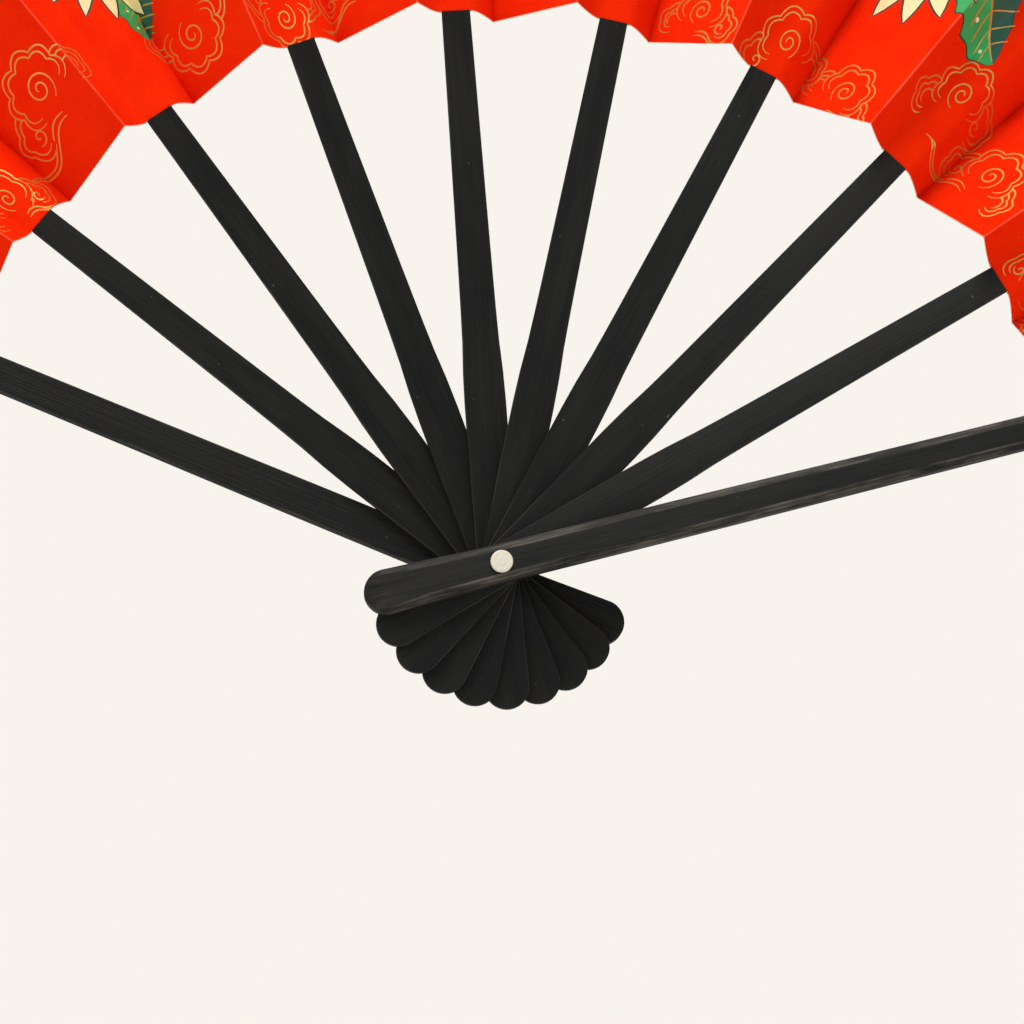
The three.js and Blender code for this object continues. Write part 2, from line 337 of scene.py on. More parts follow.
class Surface:
    """A material under construction: its tree, its Principled shader and its pattern vector."""

    def __init__(self, name: str, uv_map: str) -> None:
        """Start a material whose patterns follow the piece's own UV map.

        Args:
            name: the material's name.
            uv_map: the UV map's name.
        """
        self.material = bpy.data.materials.new(name)
        self.material.use_nodes = True
        self.tree = self.material.node_tree
        self.shader = self.tree.nodes["Principled BSDF"]
        uv = self.tree.nodes.new("ShaderNodeUVMap")
        uv.uv_map = uv_map
        self.vector = Field(self.tree, uv.outputs["UV"])

    def effect(self, group: bpy.types.NodeTree, **values: Operand) -> dict[str, Field]:
        """Place a shared group and return its outputs by name.

        Args:
            group: the shared group.
            values: its inputs, with a space in a name written as an underscore.

        Returns:
            The group's outputs by name.
        """
        node = self.tree.nodes.new("ShaderNodeGroup")
        node.node_tree = group
        plug(self.tree, node.inputs["Vector"], self.vector)
        for label, value in values.items():
            plug(self.tree, node.inputs[label.replace("_", " ")], value)
        return {socket.name: Field(self.tree, socket) for socket in node.outputs}

    def attribute(self, name: str) -> Field:
        """Read a number stored on the mesh.

        Args:
            name: the attribute's name.

        Returns:
            Its value.
        """
        node = self.tree.nodes.new("ShaderNodeAttribute")
        node.attribute_name = name
        return Field(self.tree, node.outputs["Fac"])

    def colour(self, value: Field) -> None:
        """Feed the base colour."""
        plug(self.tree, self.shader.inputs["Base Color"], value)

    def roughness(self, value: Operand) -> None:
        """Feed or set the roughness."""
        plug(self.tree, self.shader.inputs["Roughness"], value)

    def bump(self, height: Field, distance: float, strength: float = 1.0) -> None:
        """Raise the surface a little, through its normals.

        Args:
            height: the pattern that raises it.
            distance: how far a height of 1 stands out, in metres.
            strength: how strongly it shows.
        """
        node = self.tree.nodes.new("ShaderNodeBump")
        node.inputs["Distance"].default_value = distance
        node.inputs["Strength"].default_value = strength
        plug(self.tree, node.inputs["Height"], height)
        self.tree.links.new(node.outputs["Normal"], self.shader.inputs["Normal"])

    def fixed(self, **values: float) -> None:
        """Set plain values on the shader, with a space in a name written as an underscore."""
        for label, value in values.items():
            self.shader.inputs[label.replace("_", " ")].default_value = value


@dataclass(frozen=True)
class BambooFinish:
    """Black-stained bamboo with a thin satin finish."""

    name: str
    stain: Colour = (0.0024, 0.0036, 0.0036)
    bare: Colour = (0.0140, 0.0132, 0.0100)
    # the rubbed colour of marked edges; on a bevel it also paints the highlight
    rubbed: Colour = (0.085, 0.076, 0.060)
    speck: Colour = (0.13, 0.13, 0.115)
    # how strongly marked edges take the rubbed colour, which on a bevel is also painted highlight
    rubbing_and_highlight: float = 0.55
    smooth: float = 0.42
    rough: float = 0.62
    streaked: float = 0.55  # how far the fibres, and then the bands of stain, take black to bare
    banded: float = 0.35
    specked: float = 0.4
    groove_share: float = 0.3
    relief: float = 0.05 * MM
    specular: float = 0.18
    brushed: float = 0.75

    def make(self, groups: ShaderGroups) -> bpy.types.Material:
        """Build the material.

        Args:
            groups: the shared effects.

        Returns:
            The material.
        """
        surface = Surface(self.name, Blade.UV_MAP)
        tree = surface.tree
        fibre = surface.effect(groups.fibre, Groove_Share=self.groove_share)
        wear_and_highlight = surface.effect(groups.wear_and_highlight, Edge=surface.attribute(Blade.EDGE))["Wear And Highlight"]
        lighter = fibre["Streak"] * self.streaked + fibre["Stain"] * self.banded
        base = mixed(tree, lighter, self.stain, self.bare)
        # marked edges take the rubbed colour: rubbed stain, and on a bevel also a painted highlight
        base = mixed(tree, wear_and_highlight * self.rubbing_and_highlight, base, self.rubbed)
        surface.colour(mixed(tree, fibre["Speck"] * self.specked, base, self.speck))
        gloss = fibre["Stain"] * 0.6 + fibre["Streak"] * 0.4
        surface.roughness(gloss * (self.rough - self.smooth) + self.smooth)
        surface.bump(fibre["Height"], self.relief)
        surface.fixed(Specular_IOR_Level=self.specular, Anisotropic=self.brushed)
        tangent = tree.nodes.new("ShaderNodeTangent")
        tangent.direction_type = "UV_MAP"
        tangent.uv_map = Blade.UV_MAP
        tree.links.new(tangent.outputs["Tangent"], surface.shader.inputs["Tangent"])
        return surface.material


@dataclass(frozen=True)
class PaperFinish:
    """Dyed paper."""

    name: str
    dye: Colour
    pale: Colour
    rubbed: Colour = (0.95, 0.16, 0.08)
    mottled: float = 0.5
    crease: float = 0.7
    crease_band: tuple[float, float] = (0.965, 0.995)  # shares of the way out to a fold's crest
    rough: float = 0.8
    uneven: float = 0.08
    relief: float = 0.03 * MM
    specular: float = 0.02

    def make(self, groups: ShaderGroups) -> bpy.types.Material:
        """Build the material.

        Args:
            groups: the shared effects.

        Returns:
            The material.
        """
        surface = Surface(self.name, Leaf.UV_MAP)
        paper = surface.effect(groups.paper)
        paler = paper["Mottle"] * self.mottled + paper["Fibre"] * (1 - self.mottled)
        base = mixed(surface.tree, paler, self.dye, self.pale)
        crest = surface.attribute(Leaf.CREST).step(*self.crease_band) * (paper["Mottle"] * 0.5 + 0.4)
        surface.colour(mixed(surface.tree, crest * self.crease, base, self.rubbed))
        surface.roughness(paper["Mottle"] * self.uneven + self.rough)
        surface.bump(paper["Height"], self.relief)
        surface.fixed(Specular_IOR_Level=self.specular)
        return surface.material


@dataclass(frozen=True)
class InkFinish:
    """Paint or metallic ink on the paper, thin enough for the paper's tooth to show."""

    name: str
    ink: Colour
    thin: Colour
    metallic: float = 0.0
    mottled: float = 0.7
    rough: float = 0.5
    uneven: float = 0.15
    relief: float = 0.02 * MM

    def make(self, groups: ShaderGroups) -> bpy.types.Material:
        """Build the material.

        Args:
            groups: the shared effects.

        Returns:
            The material.
        """
        surface = Surface(self.name, Leaf.UV_MAP)
        paper = surface.effect(groups.paper)
        cover = paper["Mottle"] * self.mottled + paper["Fibre"] * (1 - self.mottled)
        surface.colour(mixed(surface.tree, cover, self.ink, self.thin))
        surface.roughness(paper["Mottle"] * self.uneven + self.rough)
        surface.bump(paper["Height"], self.relief)
        surface.fixed(Metallic=self.metallic)
        return surface.material


@dataclass(frozen=True)
class PlasticFinish:
    """Cream-white moulded plastic, a little marked by handling."""

    name: str = "cream plastic"
    cream: Colour = (0.70, 0.665, 0.55)
    soiled: Colour = (0.55, 0.52, 0.43)
    mottled: float = 0.35
    rough: float = 0.32
    uneven: float = 0.12
    relief: float = 0.01 * MM
    glow: float = 0.15  # how much light goes into the plastic, and how deep
    glow_depth: float = 1 * MM

    def make(self, groups: ShaderGroups) -> bpy.types.Material:
        """Build the material.

        Args:
            groups: the shared effects.

        Returns:
            The material.
        """
        surface = Surface(self.name, Rivet.UV_MAP)
        paper = surface.effect(groups.paper)
        surface.colour(mixed(surface.tree, paper["Mottle"] * self.mottled, self.cream, self.soiled))
        surface.roughness(paper["Mottle"] * self.uneven + self.rough)
        surface.bump(paper["Height"], self.relief)
        surface.fixed(Subsurface_Weight=self.glow, Subsurface_Scale=self.glow_depth)
        return surface.material


class Paint(Enum):
    """What a face of the leaf shows."""

    RED_FRONT = 0
    RED_BACK = 1
    CUT_EDGE = 2
    GOLD = 3
    CREAM = 4
    STRAW = 5
    INK = 6
    GREEN = 7
    PINE = 8
    ROSE = 9


PAINT_FINISHES = {
    Paint.RED_FRONT: PaperFinish("red paper, printed side", (0.78, 0.016, 0.0006), (0.84, 0.028, 0.0015)),
    Paint.RED_BACK: PaperFinish("red paper, back", (0.60, 0.014, 0.002), (0.68, 0.026, 0.004)),
    Paint.CUT_EDGE: PaperFinish("paper, cut edge", (0.82, 0.58, 0.45), (0.86, 0.68, 0.55)),
    Paint.GOLD: InkFinish("gold ink", (0.72, 0.42, 0.10), (0.55, 0.26, 0.05), metallic=0.75, rough=0.34),
    Paint.CREAM: InkFinish("cream paint", (0.86, 0.76, 0.42), (0.80, 0.66, 0.30)),
    Paint.STRAW: InkFinish("straw paint", (0.62, 0.48, 0.12), (0.52, 0.38, 0.08)),
    Paint.INK: InkFinish("dark ink", (0.012, 0.02, 0.012), (0.03, 0.035, 0.02)),
    Paint.GREEN: InkFinish("leaf green paint", (0.012, 0.32, 0.075), (0.02, 0.42, 0.10)),
    Paint.PINE: InkFinish("pine green paint", (0.004, 0.075, 0.05), (0.006, 0.11, 0.06)),
    Paint.ROSE: InkFinish("rose paint", (0.78, 0.30, 0.22), (0.70, 0.16, 0.10)),
}


@dataclass
class Finishes:
    """Every material of the fan, each built once."""

    groups: ShaderGroups = field(default_factory=ShaderGroups)
    front_guard: bpy.types.Material = field(init=False)
    rear_guard: bpy.types.Material = field(init=False)
    rib: bpy.types.Material = field(init=False)
    rivet: bpy.types.Material = field(init=False)
    paints: dict[Paint, bpy.types.Material] = field(init=False)

    def __post_init__(self) -> None:
        """Build the materials."""
        # the outer skin's paler rubbed colour and stronger mix paint the highlight on the front guard's
        # bevels, besides the rubbed stain
        smooth_skin = BambooFinish(
            "black bamboo, outer skin",
            rubbed=(0.125, 0.108, 0.084),
            rubbing_and_highlight=0.8,
            smooth=0.40,
            rough=0.60,
            groove_share=0.2,
        )
        split_face = BambooFinish(
            "black bamboo, split face", smooth=0.45, rough=0.7, groove_share=1.6, relief=0.09 * MM
        )
        self.front_guard = smooth_skin.make(self.groups)
        self.rear_guard = split_face.make(self.groups)
        self.rib = BambooFinish("black bamboo, rib").make(self.groups)
        self.rivet = PlasticFinish().make(self.groups)
        self.paints = {paint: finish.make(self.groups) for paint, finish in PAINT_FINISHES.items()}


# ------------------------------------------------------------------ mesh helpers


def mesh_object(name: str, points: Sequence, faces: Sequence) -> bpy.types.Object:
    """Make a mesh object at the origin.

    Args:
        name: its name.
        points: its points in metres.
        faces: its faces, each as the numbers of its points.

    Returns:
        The object.
    """
    mesh = bpy.data.meshes.new(name)
    mesh.from_pydata([tuple(p) for p in points], [], [tuple(f) for f in faces])
    mesh.validate()
    made = bpy.data.objects.new(name, mesh)
    bpy.context.scene.collection.objects.link(made)
    return made


def store(mesh: bpy.types.Mesh, name: str, domain: str, values: Iterable[float]) -> None:
    """Store numbers on a mesh as a named attribute.

    Args:
        mesh: the mesh.
        name: the attribute's name.
        domain: what each number belongs to, POINT or FACE.
        values: the numbers in order.
    """
    attribute = mesh.attributes.new(name, "FLOAT", domain)
    attribute.data.foreach_set("value", np.asarray(values, dtype=np.float32).ravel())


def store_uv(mesh: bpy.types.Mesh, name: str, by_point: Points) -> None:
    """Give a mesh a UV map.

    Args:
        mesh: the mesh.
        name: the map's name.
        by_point: U and V of each point.
    """
    layer = mesh.uv_layers.new(name=name)
    corners = np.empty(len(mesh.loops), dtype=np.int32)
    mesh.loops.foreach_get("vertex_index", corners)
    layer.data.foreach_set("uv", np.asarray(by_point, dtype=np.float32)[corners].ravel())


def baked(
    source: bpy.types.Object, tree: bpy.types.NodeTree, name: str, **inputs: Union[float, bpy.types.ID]
) -> bpy.types.Object:
    """Run a Geometry Nodes tree on an object and return the result as a plain mesh object.

    Args:
        source: the object that goes in; it is removed afterwards.
        tree: the tree.
        name: the new object's name.
        inputs: the tree's inputs, with a space in a name written as an underscore.

    Returns:
        The new object, with no modifier on it.
    """
    modifier = source.modifiers.new("shape", "NODES")
    modifier.node_group = tree
    identifiers = {
        item.name: item.identifier
        for item in tree.interface.items_tree
        if item.item_type == "SOCKET" and item.in_out == "INPUT"
    }
    for label, value in inputs.items():
        modifier[identifiers[label.replace("_", " ")]] = value
    source.update_tag()
    graph = bpy.context.evaluated_depsgraph_get()
    mesh = bpy.data.meshes.new_from_object(source.evaluated_get(graph))
    mesh.name = name
    source.modifiers.remove(modifier)
    bpy.data.objects.remove(source)
    made = bpy.data.objects.new(name, mesh)
    bpy.context.scene.collection.objects.link(made)
    return made


def within(outline: Points, points: Points) -> Points:
    """Whether points lie inside a closed outline.

    Args:
        outline: the outline's corners in order.
        points: the points to test.

    Returns:
        One truth value for each point.
    """
    inside = np.zeros(len(points), dtype=bool)
    x, y = points[:, 0], points[:, 1]
    for (ax, ay), (bx, by) in zip(outline, np.roll(outline, -1, axis=0)):
        crosses = (ay > y) != (by > y)
        span = by - ay if by != ay else 1.0
        inside ^= crosses & (x < ax + (y - ay) / span * (bx - ax))
    return inside


def softened(piece: bpy.types.Object, sharp_over_deg: float) -> None:
    """Shade a piece smooth, but for edges sharper than the angle."""
    piece.data.shade_smooth()
    piece.data.set_sharp_from_angle(angle=math.radians(sharp_over_deg))


def hand_over(piece: bpy.types.Object, node: str, body: str | None) -> None:
    """Let a finished piece stand for a CAD node.

    Args:
        piece: the finished piece.
        node: the CAD node that it replaces.
        body: the body that it moves with, or None where it lies between two and is attached to neither.
    """
    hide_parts(node)
    if body is not None:
        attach(piece, body)
    LOG.info("%s: %d faces", piece.name, len(piece.data.polygons))


# ------------------------------------------------------------------ the fan's plan


@dataclass(frozen=True)
class FanPlan:
    """Where the sticks and folds of the open fan lie. Lengths are in metres."""

    rib_count: int = 8
    pitch: float = math.radians(15.9)
    leaf_inner: float = 109 * MM
    leaf_outer: float = 263 * MM
    fold_rise: float = 6.3 / 109
    flat_half: float = 3.3 * MM
    guard_leaf_half: float = 2.9 * MM
    glue_half: float = 0.05 * MM
    ply: float = 0.2 * MM

    @property
    def last(self) -> int:
        """The rear guard's place."""
        return self.rib_count + 1

    @property
    def fold_azimuth(self) -> float:
        """Angle from a stick to each of its two folds."""
        return self.pitch / 4

    def turn(self, place: float) -> float:
        """Angle about +Y that takes +Z to the stick at a place."""
        return self.pitch * (self.last / 2 - place)

    def body(self, place: int) -> str:
        """Name the body of a stick.

        Args:
            place: the stick's place.

        Returns:
            The body's name, which is also the stick's own.
        """
        if place == 0:
            return "front_guard"
        return "rear_guard" if place == self.last else f"rib_{place}"

    def middle(self, place: int) -> float:
        """Find the leaf's middle on a stick, between its two plies.

        Args:
            place: the stick's place.

        Returns:
            Its Y in metres.
        """
        if place == 0:
            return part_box("leaf_face_front_guard")[1].y + self.glue_half
        if place == self.last:
            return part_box("leaf_back_rear_guard")[0].y - self.glue_half
        low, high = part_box(self.body(place))
        return (low.y + high.y) / 2

    def fold_point(self, place: int, hand: int) -> Vector:
        """Where a stick's fold line leaves the leaf's inner edge.

        Args:
            place: the stick's place.
            hand: -1 for the mountain fold at its left, 1 for the valley fold at its right.

        Returns:
            The point in the row frame.
        """
        azimuth = self.turn(place) + hand * self.fold_azimuth
        rise = hand * self.fold_rise * self.leaf_inner
        flat = Vector((math.sin(azimuth), 0, math.cos(azimuth))) * self.leaf_inner
        return flat + Vector((0, self.middle(place) + rise, 0))


# ------------------------------------------------------------------ sticks


@dataclass
class Blade:
    """One bamboo stick, lofted along +Z with its front face towards -Y and its rivet hole at 0."""

    tail_length: float
    stations: tuple[tuple[float, float], ...]  # half width and distance from the rivet, in mm
    end: float
    thickness: float
    round_over: float = 0.2 * MM
    bevel: float = 0.0  # width of the bevel along each front edge
    bevel_drop: float = 0.0
    tail_slope: float = 0.0  # how far the front face falls away at the tail
    recess: float = 0.0  # depth cut from the inner face under the leaf
    recess_from: float = 1.0  # distance from the rivet at which the recess or the tongue starts
    inner_is_back: bool = True
    tongue: tuple[float, float] | None = None  # half width and thickness of a rib's tongue
    shoulder: float = 0.03 * MM  # length of the step from a rib down to its tongue
    hole_radius: float = 1.6 * MM

    UV_MAP = "grain"
    EDGE = "edge"
    BROW = (0.42, 0.42)  # where a bevel turns steeper, as shares of its width and its drop
    MOST_ROUND = 0.45  # the most of an edge, or of the stick's size, that a rounding takes
    BEVEL_RUB_AND_HIGHLIGHT = 0.5  # how much of a bevel's stain is rubbed away, which also paints the bevel's highlight
    TAIL_RUB = 0.3  # and of the bevelled guard's whole tail
    TAIL_EDGE = 0.7  # how much less the tail's edges are rubbed than the others
    TAIL_BEVEL = 0.45  # how much narrower the bevel is at the tail
    TAIL_REACH = 0.6  # where the worn tail starts, in half widths from its round end's centre
    MOST_BEVEL = 0.4  # the most of the half width that a bevel takes
    THIN_TIP = 1e-4  # what is left of the tail's width at its tip, squared
    FALL_LENGTH = 3.2  # how long the tail's slope is, in half widths
    ROW_SPACING = 6 * MM
    TAIL_ROWS = 12
    TAIL_TIP = 0.06  # the angle at which the tail's first ring stands
    TONGUE_ROWS = 10
    ROUND_STEPS = 3
    CURVE_STEPS = 12
    HOLE_STEPS = 32

    def _width_curve(self) -> Points:
        """Draw a smooth curve through the stations.

        Returns:
            Half width and distance from the rivet along the stick, in metres.
        """
        knots = np.array(self.stations) * MM
        padded = np.vstack([knots[0], knots, knots[-1]])
        samples = []
        for a, b, c, d in zip(padded, padded[1:], padded[2:], padded[3:]):
            for t in np.linspace(0, 1, self.CURVE_STEPS, endpoint=False):
                start, finish = 0.5 * (c - a), 0.5 * (d - b)
                samples.append(
                    (2 * b - 2 * c + start + finish) * t**3
                    + (3 * c - 3 * b - 2 * start - finish) * t**2
                    + start * t
                    + b
                )
        return np.array(samples + [knots[-1]])

    def _section(
        self, half: float, front: float, back: float, bevel: float, drop: float
    ) -> list[tuple[float, float, float]]:
        """Draw one ring across the stick, each point with a mark for rubbed edges and for a bevel's
        painted highlight.

        Args:
            half: half width.
            front: Y of the front face.
            back: Y of the back face.
            bevel: width of the front bevels.
            drop: how far the bevels fall at the sides.

        Returns:
            (x, y, edge mark) from the front's left end round to the back's left end.
        """
        soft = min(self.round_over, self.MOST_ROUND * half, self.MOST_ROUND * (back - front - drop))
        corners = [(-half + bevel, front), (half - bevel, front)]
        bevelled = set()
        if bevel > 0:
            brow = [(half - self.BROW[0] * bevel, front + self.BROW[1] * drop), (half, front + drop)]
            corners = [(-x, y) for x, y in reversed(brow)] + corners + brow
            bevelled = {(0, 1), (1, 0), (1, 1), (2, 0), (3, 1), (4, 0), (4, 1), (5, 0)}
        corners += [(half, back), (-half, back)]
        ring = []
        count = len(corners)
        for i, corner in enumerate(corners):
            here = np.array(corner)
            before = np.array(corners[i - 1]) - here
            after = np.array(corners[(i + 1) % count]) - here
            lengths = np.linalg.norm(before), np.linalg.norm(after)
            reach = min(soft, self.MOST_ROUND * lengths[0], self.MOST_ROUND * lengths[1])
            first = here + before / max(lengths[0], TINY) * reach
            last = here + after / max(lengths[1], TINY) * reach
            for step in range(self.ROUND_STEPS + 1):
                t = step / self.ROUND_STEPS
                point = (1 - t) ** 2 * first + 2 * t * (1 - t) * here + t**2 * last
                # 1 on a rounded edge, where the stain is rubbed; on a bevel the mark is part rubbed stain
                # and part painted highlight
                rubbed = 1.0 if 0 < t < 1 else self.BEVEL_RUB_AND_HIGHLIGHT * ((i, round(t)) in bevelled)
                ring.append((point[0], point[1], rubbed))
        return ring

    def _rows(self) -> list[float]:
        """Space the rings.

        Returns:
            Their distances from the rivet, closest together round the tail's end.
        """
        tail_half = self.stations[0][0] * MM
        centre = tail_half - self.tail_length
        angles = np.linspace(self.TAIL_TIP, math.pi / 2, self.TAIL_ROWS)
        rows = [centre - tail_half * math.cos(a) for a in angles]
        top = self.end
        if self.tongue:
            top = self.recess_from - self.shoulder
        count = max(2, round((top - centre) / self.ROW_SPACING))
        rows += list(np.linspace(centre, top, count + 1)[1:])
        if self.tongue:
            rows += [self.recess_from, self.recess_from + 1 * MM]
            rows += list(np.linspace(self.recess_from + 10 * MM, self.end, self.TONGUE_ROWS))
        elif self.recess:
            rows += [self.recess_from - 0.01 * MM, self.recess_from]
        return sorted(rows)

    def build(self, name: str) -> bpy.types.Object:
        """Loft the stick and cut its rivet hole.

        Args:
            name: the object's name.

        Returns:
            The stick, upright, with its grain map and its edge marks.
        """
        widths, distances = self._width_curve().T
        tail_half = self.stations[0][0] * MM
        centre = tail_half - self.tail_length
        points, edges, uvs, size = [], [], [], 0
        for row, along in enumerate(self._rows()):
            half, front, back = float(np.interp(along, distances, widths)), 0.0, self.thickness
            near_tail = max(0.0, (centre - along) / tail_half)
            if near_tail > 0:
                half = tail_half * math.sqrt(max(1 - near_tail**2, self.THIN_TIP))
            fall = max(0.0, 1 - (along + self.tail_length) / (self.FALL_LENGTH * tail_half))
            front += self.tail_slope * fall * fall
            worn = min(1.0, max(0.0, (centre - along) / tail_half + self.TAIL_REACH))
            bevel = min(self.bevel, self.MOST_BEVEL * half) * (1 - self.TAIL_BEVEL * worn)
            in_leaf = along >= self.recess_from
            if in_leaf and self.tongue:
                half = self.tongue[0]
                front = (self.thickness - self.tongue[1]) / 2
                back = front + self.tongue[1]
            elif in_leaf and self.inner_is_back:
                back -= self.recess
            elif in_leaf:
                front += self.recess
            ring = self._section(half, front, back, bevel, self.bevel_drop)
            size = len(ring)
            lengths = np.linalg.norm(np.diff([r[:2] for r in ring], axis=0), axis=1)
            around = np.concatenate([[0], np.cumsum(lengths)]) - half
            end_mark = self.TAIL_RUB * worn if self.bevel else 0.0
            for (x, y, mark), u in zip(ring, around):
                points.append((x, y, along))
                edges.append(max(mark * (1 - self.TAIL_EDGE * worn), end_mark))
                uvs.append((u, along))
        faces = []
        rows = len(points) // size
        for row in range(rows - 1):
            for i in range(size):
                a, b = row * size + i, row * size + (i + 1) % size
                faces.append((a, b, b + size, a + size))
        faces.append(tuple(reversed(range(size))))
        faces.append(tuple(range((rows - 1) * size, rows * size)))
        made = mesh_object(name, points, faces)
        store(made.data, self.EDGE, "POINT", edges)
        store_uv(made.data, self.UV_MAP, np.array(uvs))
        return self._bored(made)

    def _bored(self, stick: bpy.types.Object) -> bpy.types.Object:
        """Cut the rivet hole through the stick.

        Args:
            stick: the lofted stick.

        Returns:
            The same stick with its hole.
        """
        steps = self.HOLE_STEPS
        ring = [(math.cos(TAU * i / steps), math.sin(TAU * i / steps)) for i in range(steps)]
        depth = (-1 * MM, self.thickness + 1 * MM)
        points = [(x * self.hole_radius, y, z * self.hole_radius) for y in depth for x, z in ring]
        faces = [(i, (i + 1) % steps, steps + (i + 1) % steps, steps + i) for i in range(steps)]
        faces += [tuple(reversed(range(steps))), tuple(range(steps, 2 * steps))]
        drill = mesh_object("drill", points, [tuple(reversed(f)) for f in faces])
        cut = stick.modifiers.new("hole", "BOOLEAN")
        cut.object = drill
        cut.solver = "EXACT"
        graph = bpy.context.evaluated_depsgraph_get()
        mesh = bpy.data.meshes.new_from_object(stick.evaluated_get(graph))
        stick.modifiers.remove(cut)
        stick.data = mesh
        bpy.data.objects.remove(drill)
        return stick


GRAIN_DRIFT = 3.7  # how much further a stick's grain shifts along it than across it


def fan_out_tree() -> bpy.types.NodeTree:
    """Geometry Nodes that take one upright stick to its place in the open fan.

    Returns:
        The tree. It turns the stick about the rivet, sets its depth in the stack, shifts its
        grain so that no two sticks look alike, and gives it its finish.
    """
    inputs = {
        "Geometry": ("NodeSocketGeometry", None),
        "Turn": ("NodeSocketFloat", 0.0),
        "Depth": ("NodeSocketFloat", 0.0),
        "Grain Shift": ("NodeSocketFloat", 0.0),
        "Finish": ("NodeSocketMaterial", None),
    }
    tree, given, sink = group_tree(
        "fan out", "GeometryNodeTree", inputs, {"Geometry": "NodeSocketGeometry"}
    )
    grain = tree.nodes.new("GeometryNodeInputNamedAttribute")
    grain.data_type = "FLOAT_VECTOR"
    grain.inputs["Name"].default_value = Blade.UV_MAP
    shift = tree.nodes.new("ShaderNodeCombineXYZ")
    plug(tree, shift.inputs["X"], given["Grain Shift"])
    plug(tree, shift.inputs["Y"], given["Grain Shift"] * GRAIN_DRIFT)
    moved = tree.nodes.new("ShaderNodeVectorMath")
    tree.links.new(grain.outputs["Attribute"], moved.inputs[0])
    tree.links.new(shift.outputs["Vector"], moved.inputs[1])
    kept = tree.nodes.new("GeometryNodeStoreNamedAttribute")
    kept.data_type = "FLOAT2"
    kept.domain = "CORNER"
    kept.inputs["Name"].default_value = Blade.UV_MAP
    plug(tree, kept.inputs["Geometry"], given["Geometry"])
    tree.links.new(moved.outputs["Vector"], kept.inputs["Value"])
    place = tree.nodes.new("ShaderNodeCombineXYZ")
    plug(tree, place.inputs["Y"], given["Depth"])
    angles = tree.nodes.new("ShaderNodeCombineXYZ")
    plug(tree, angles.inputs["Y"], given["Turn"])
    turned = tree.nodes.new("GeometryNodeTransform")
    tree.links.new(kept.outputs["Geometry"], turned.inputs["Geometry"])
    tree.links.new(place.outputs["Vector"], turned.inputs["Translation"])
    tree.links.new(angles.outputs["Vector"], turned.inputs["Rotation"])
    real = tree.nodes.new("GeometryNodeRealizeInstances")
    tree.links.new(turned.outputs["Geometry"], real.inputs["Geometry"])
    dressed = tree.nodes.new("GeometryNodeSetMaterial")
    tree.links.new(real.outputs["Geometry"], dressed.inputs["Geometry"])
    plug(tree, dressed.inputs["Material"], given["Finish"])
    tree.links.new(dressed.outputs["Geometry"], sink.inputs["Geometry"])
    return tree


@dataclass
class Sticks:
    """The two guards and the ribs between them."""

    plan: FanPlan
    finishes: Finishes
    guard_bevel: float = 1.25 * MM
    guard_bevel_drop: float = 0.85 * MM
    guard_tail: float = 25.5 * MM
    guard_past_leaf: float = 2 * MM
    guard_round: float = 0.3 * MM
    front_tail_slope: float = 0.9 * MM
    rear_tail_slope: float = 0.35 * MM
    guard_stations: tuple = ((4.15, -21.35), (3.5, 0), (3.4, 38), (3.05, 109), (2.9, 265))
    rib_tail: float = 25.5 * MM
    rib_stations: tuple = ((4.15, -21.35), (3.7, 0), (3.85, 33), (3.3, 50), (2.7, 109))
    rib_tongue: tuple = (1.4 * MM, 0.46 * MM)
    tongue_short: float = 5 * MM
    leaf_clearance: float = 0.06 * MM
    recess_clearance: float = 0.1 * MM
    grain_step: float = 13.7 * MM  # from one stick's piece of bamboo to the next one's
    sharp_over_deg: float = 32
    tree: bpy.types.NodeTree = field(default_factory=fan_out_tree)

    def _guard_blade(self, name: str, place: int) -> Blade:
        """Plan a guard. The front one is bevelled on its outer side.

        Args:
            name: the CAD node whose depth it has.
            place: its place.

        Returns:
            Its blade, with a recess for the leaf on the inner side.
        """
        low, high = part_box(name)
        outward = place == 0
        middle = self.plan.middle(place)
        leaf_half = self.plan.glue_half + self.plan.ply + self.recess_clearance
        inner = high.y - (middle - leaf_half) if outward else (middle + leaf_half) - low.y
        return Blade(
            tail_length=self.guard_tail,
            stations=self.guard_stations,
            end=self.plan.leaf_outer + self.guard_past_leaf,
            thickness=high.y - low.y,
            round_over=self.guard_round,
            bevel=self.guard_bevel if outward else 0.0,
            bevel_drop=self.guard_bevel_drop if outward else 0.0,
            tail_slope=self.front_tail_slope if outward else self.rear_tail_slope,
            recess=inner,
            recess_from=self.plan.leaf_inner - self.leaf_clearance,
            inner_is_back=outward,
        )

    def _rib_blade(self, name: str) -> Blade:
        """Plan a rib.

        Args:
            name: the CAD node whose depth it has.

        Returns:
            Its blade, with the tongue that goes on between the two plies.
        """
        low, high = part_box(name)
        return Blade(
            tail_length=self.rib_tail,
            stations=self.rib_stations,
            end=self.plan.leaf_outer - self.tongue_short,
            thickness=high.y - low.y,
            recess_from=self.plan.leaf_inner - self.leaf_clearance,
            tongue=self.rib_tongue,
        )

    def build(self) -> None:
        """Make every stick, put it in its place and hand it over."""
        for place in range(self.plan.last + 1):
            name = self.plan.body(place)
            is_guard = place in (0, self.plan.last)
            blade = self._guard_blade(name, place) if is_guard else self._rib_blade(name)
            finish = getattr(self.finishes, name) if is_guard else self.finishes.rib
            piece = baked(
                blade.build(f"{name}_blank"),
                self.tree,
                f"{name}_bamboo",
                Turn=self.plan.turn(place),
                Depth=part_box(name)[0].y,
                Grain_Shift=self.grain_step * place,
                Finish=finish,
            )
            softened(piece, self.sharp_over_deg)
            hand_over(piece, name, name)


# ------------------------------------------------------------------ rivet


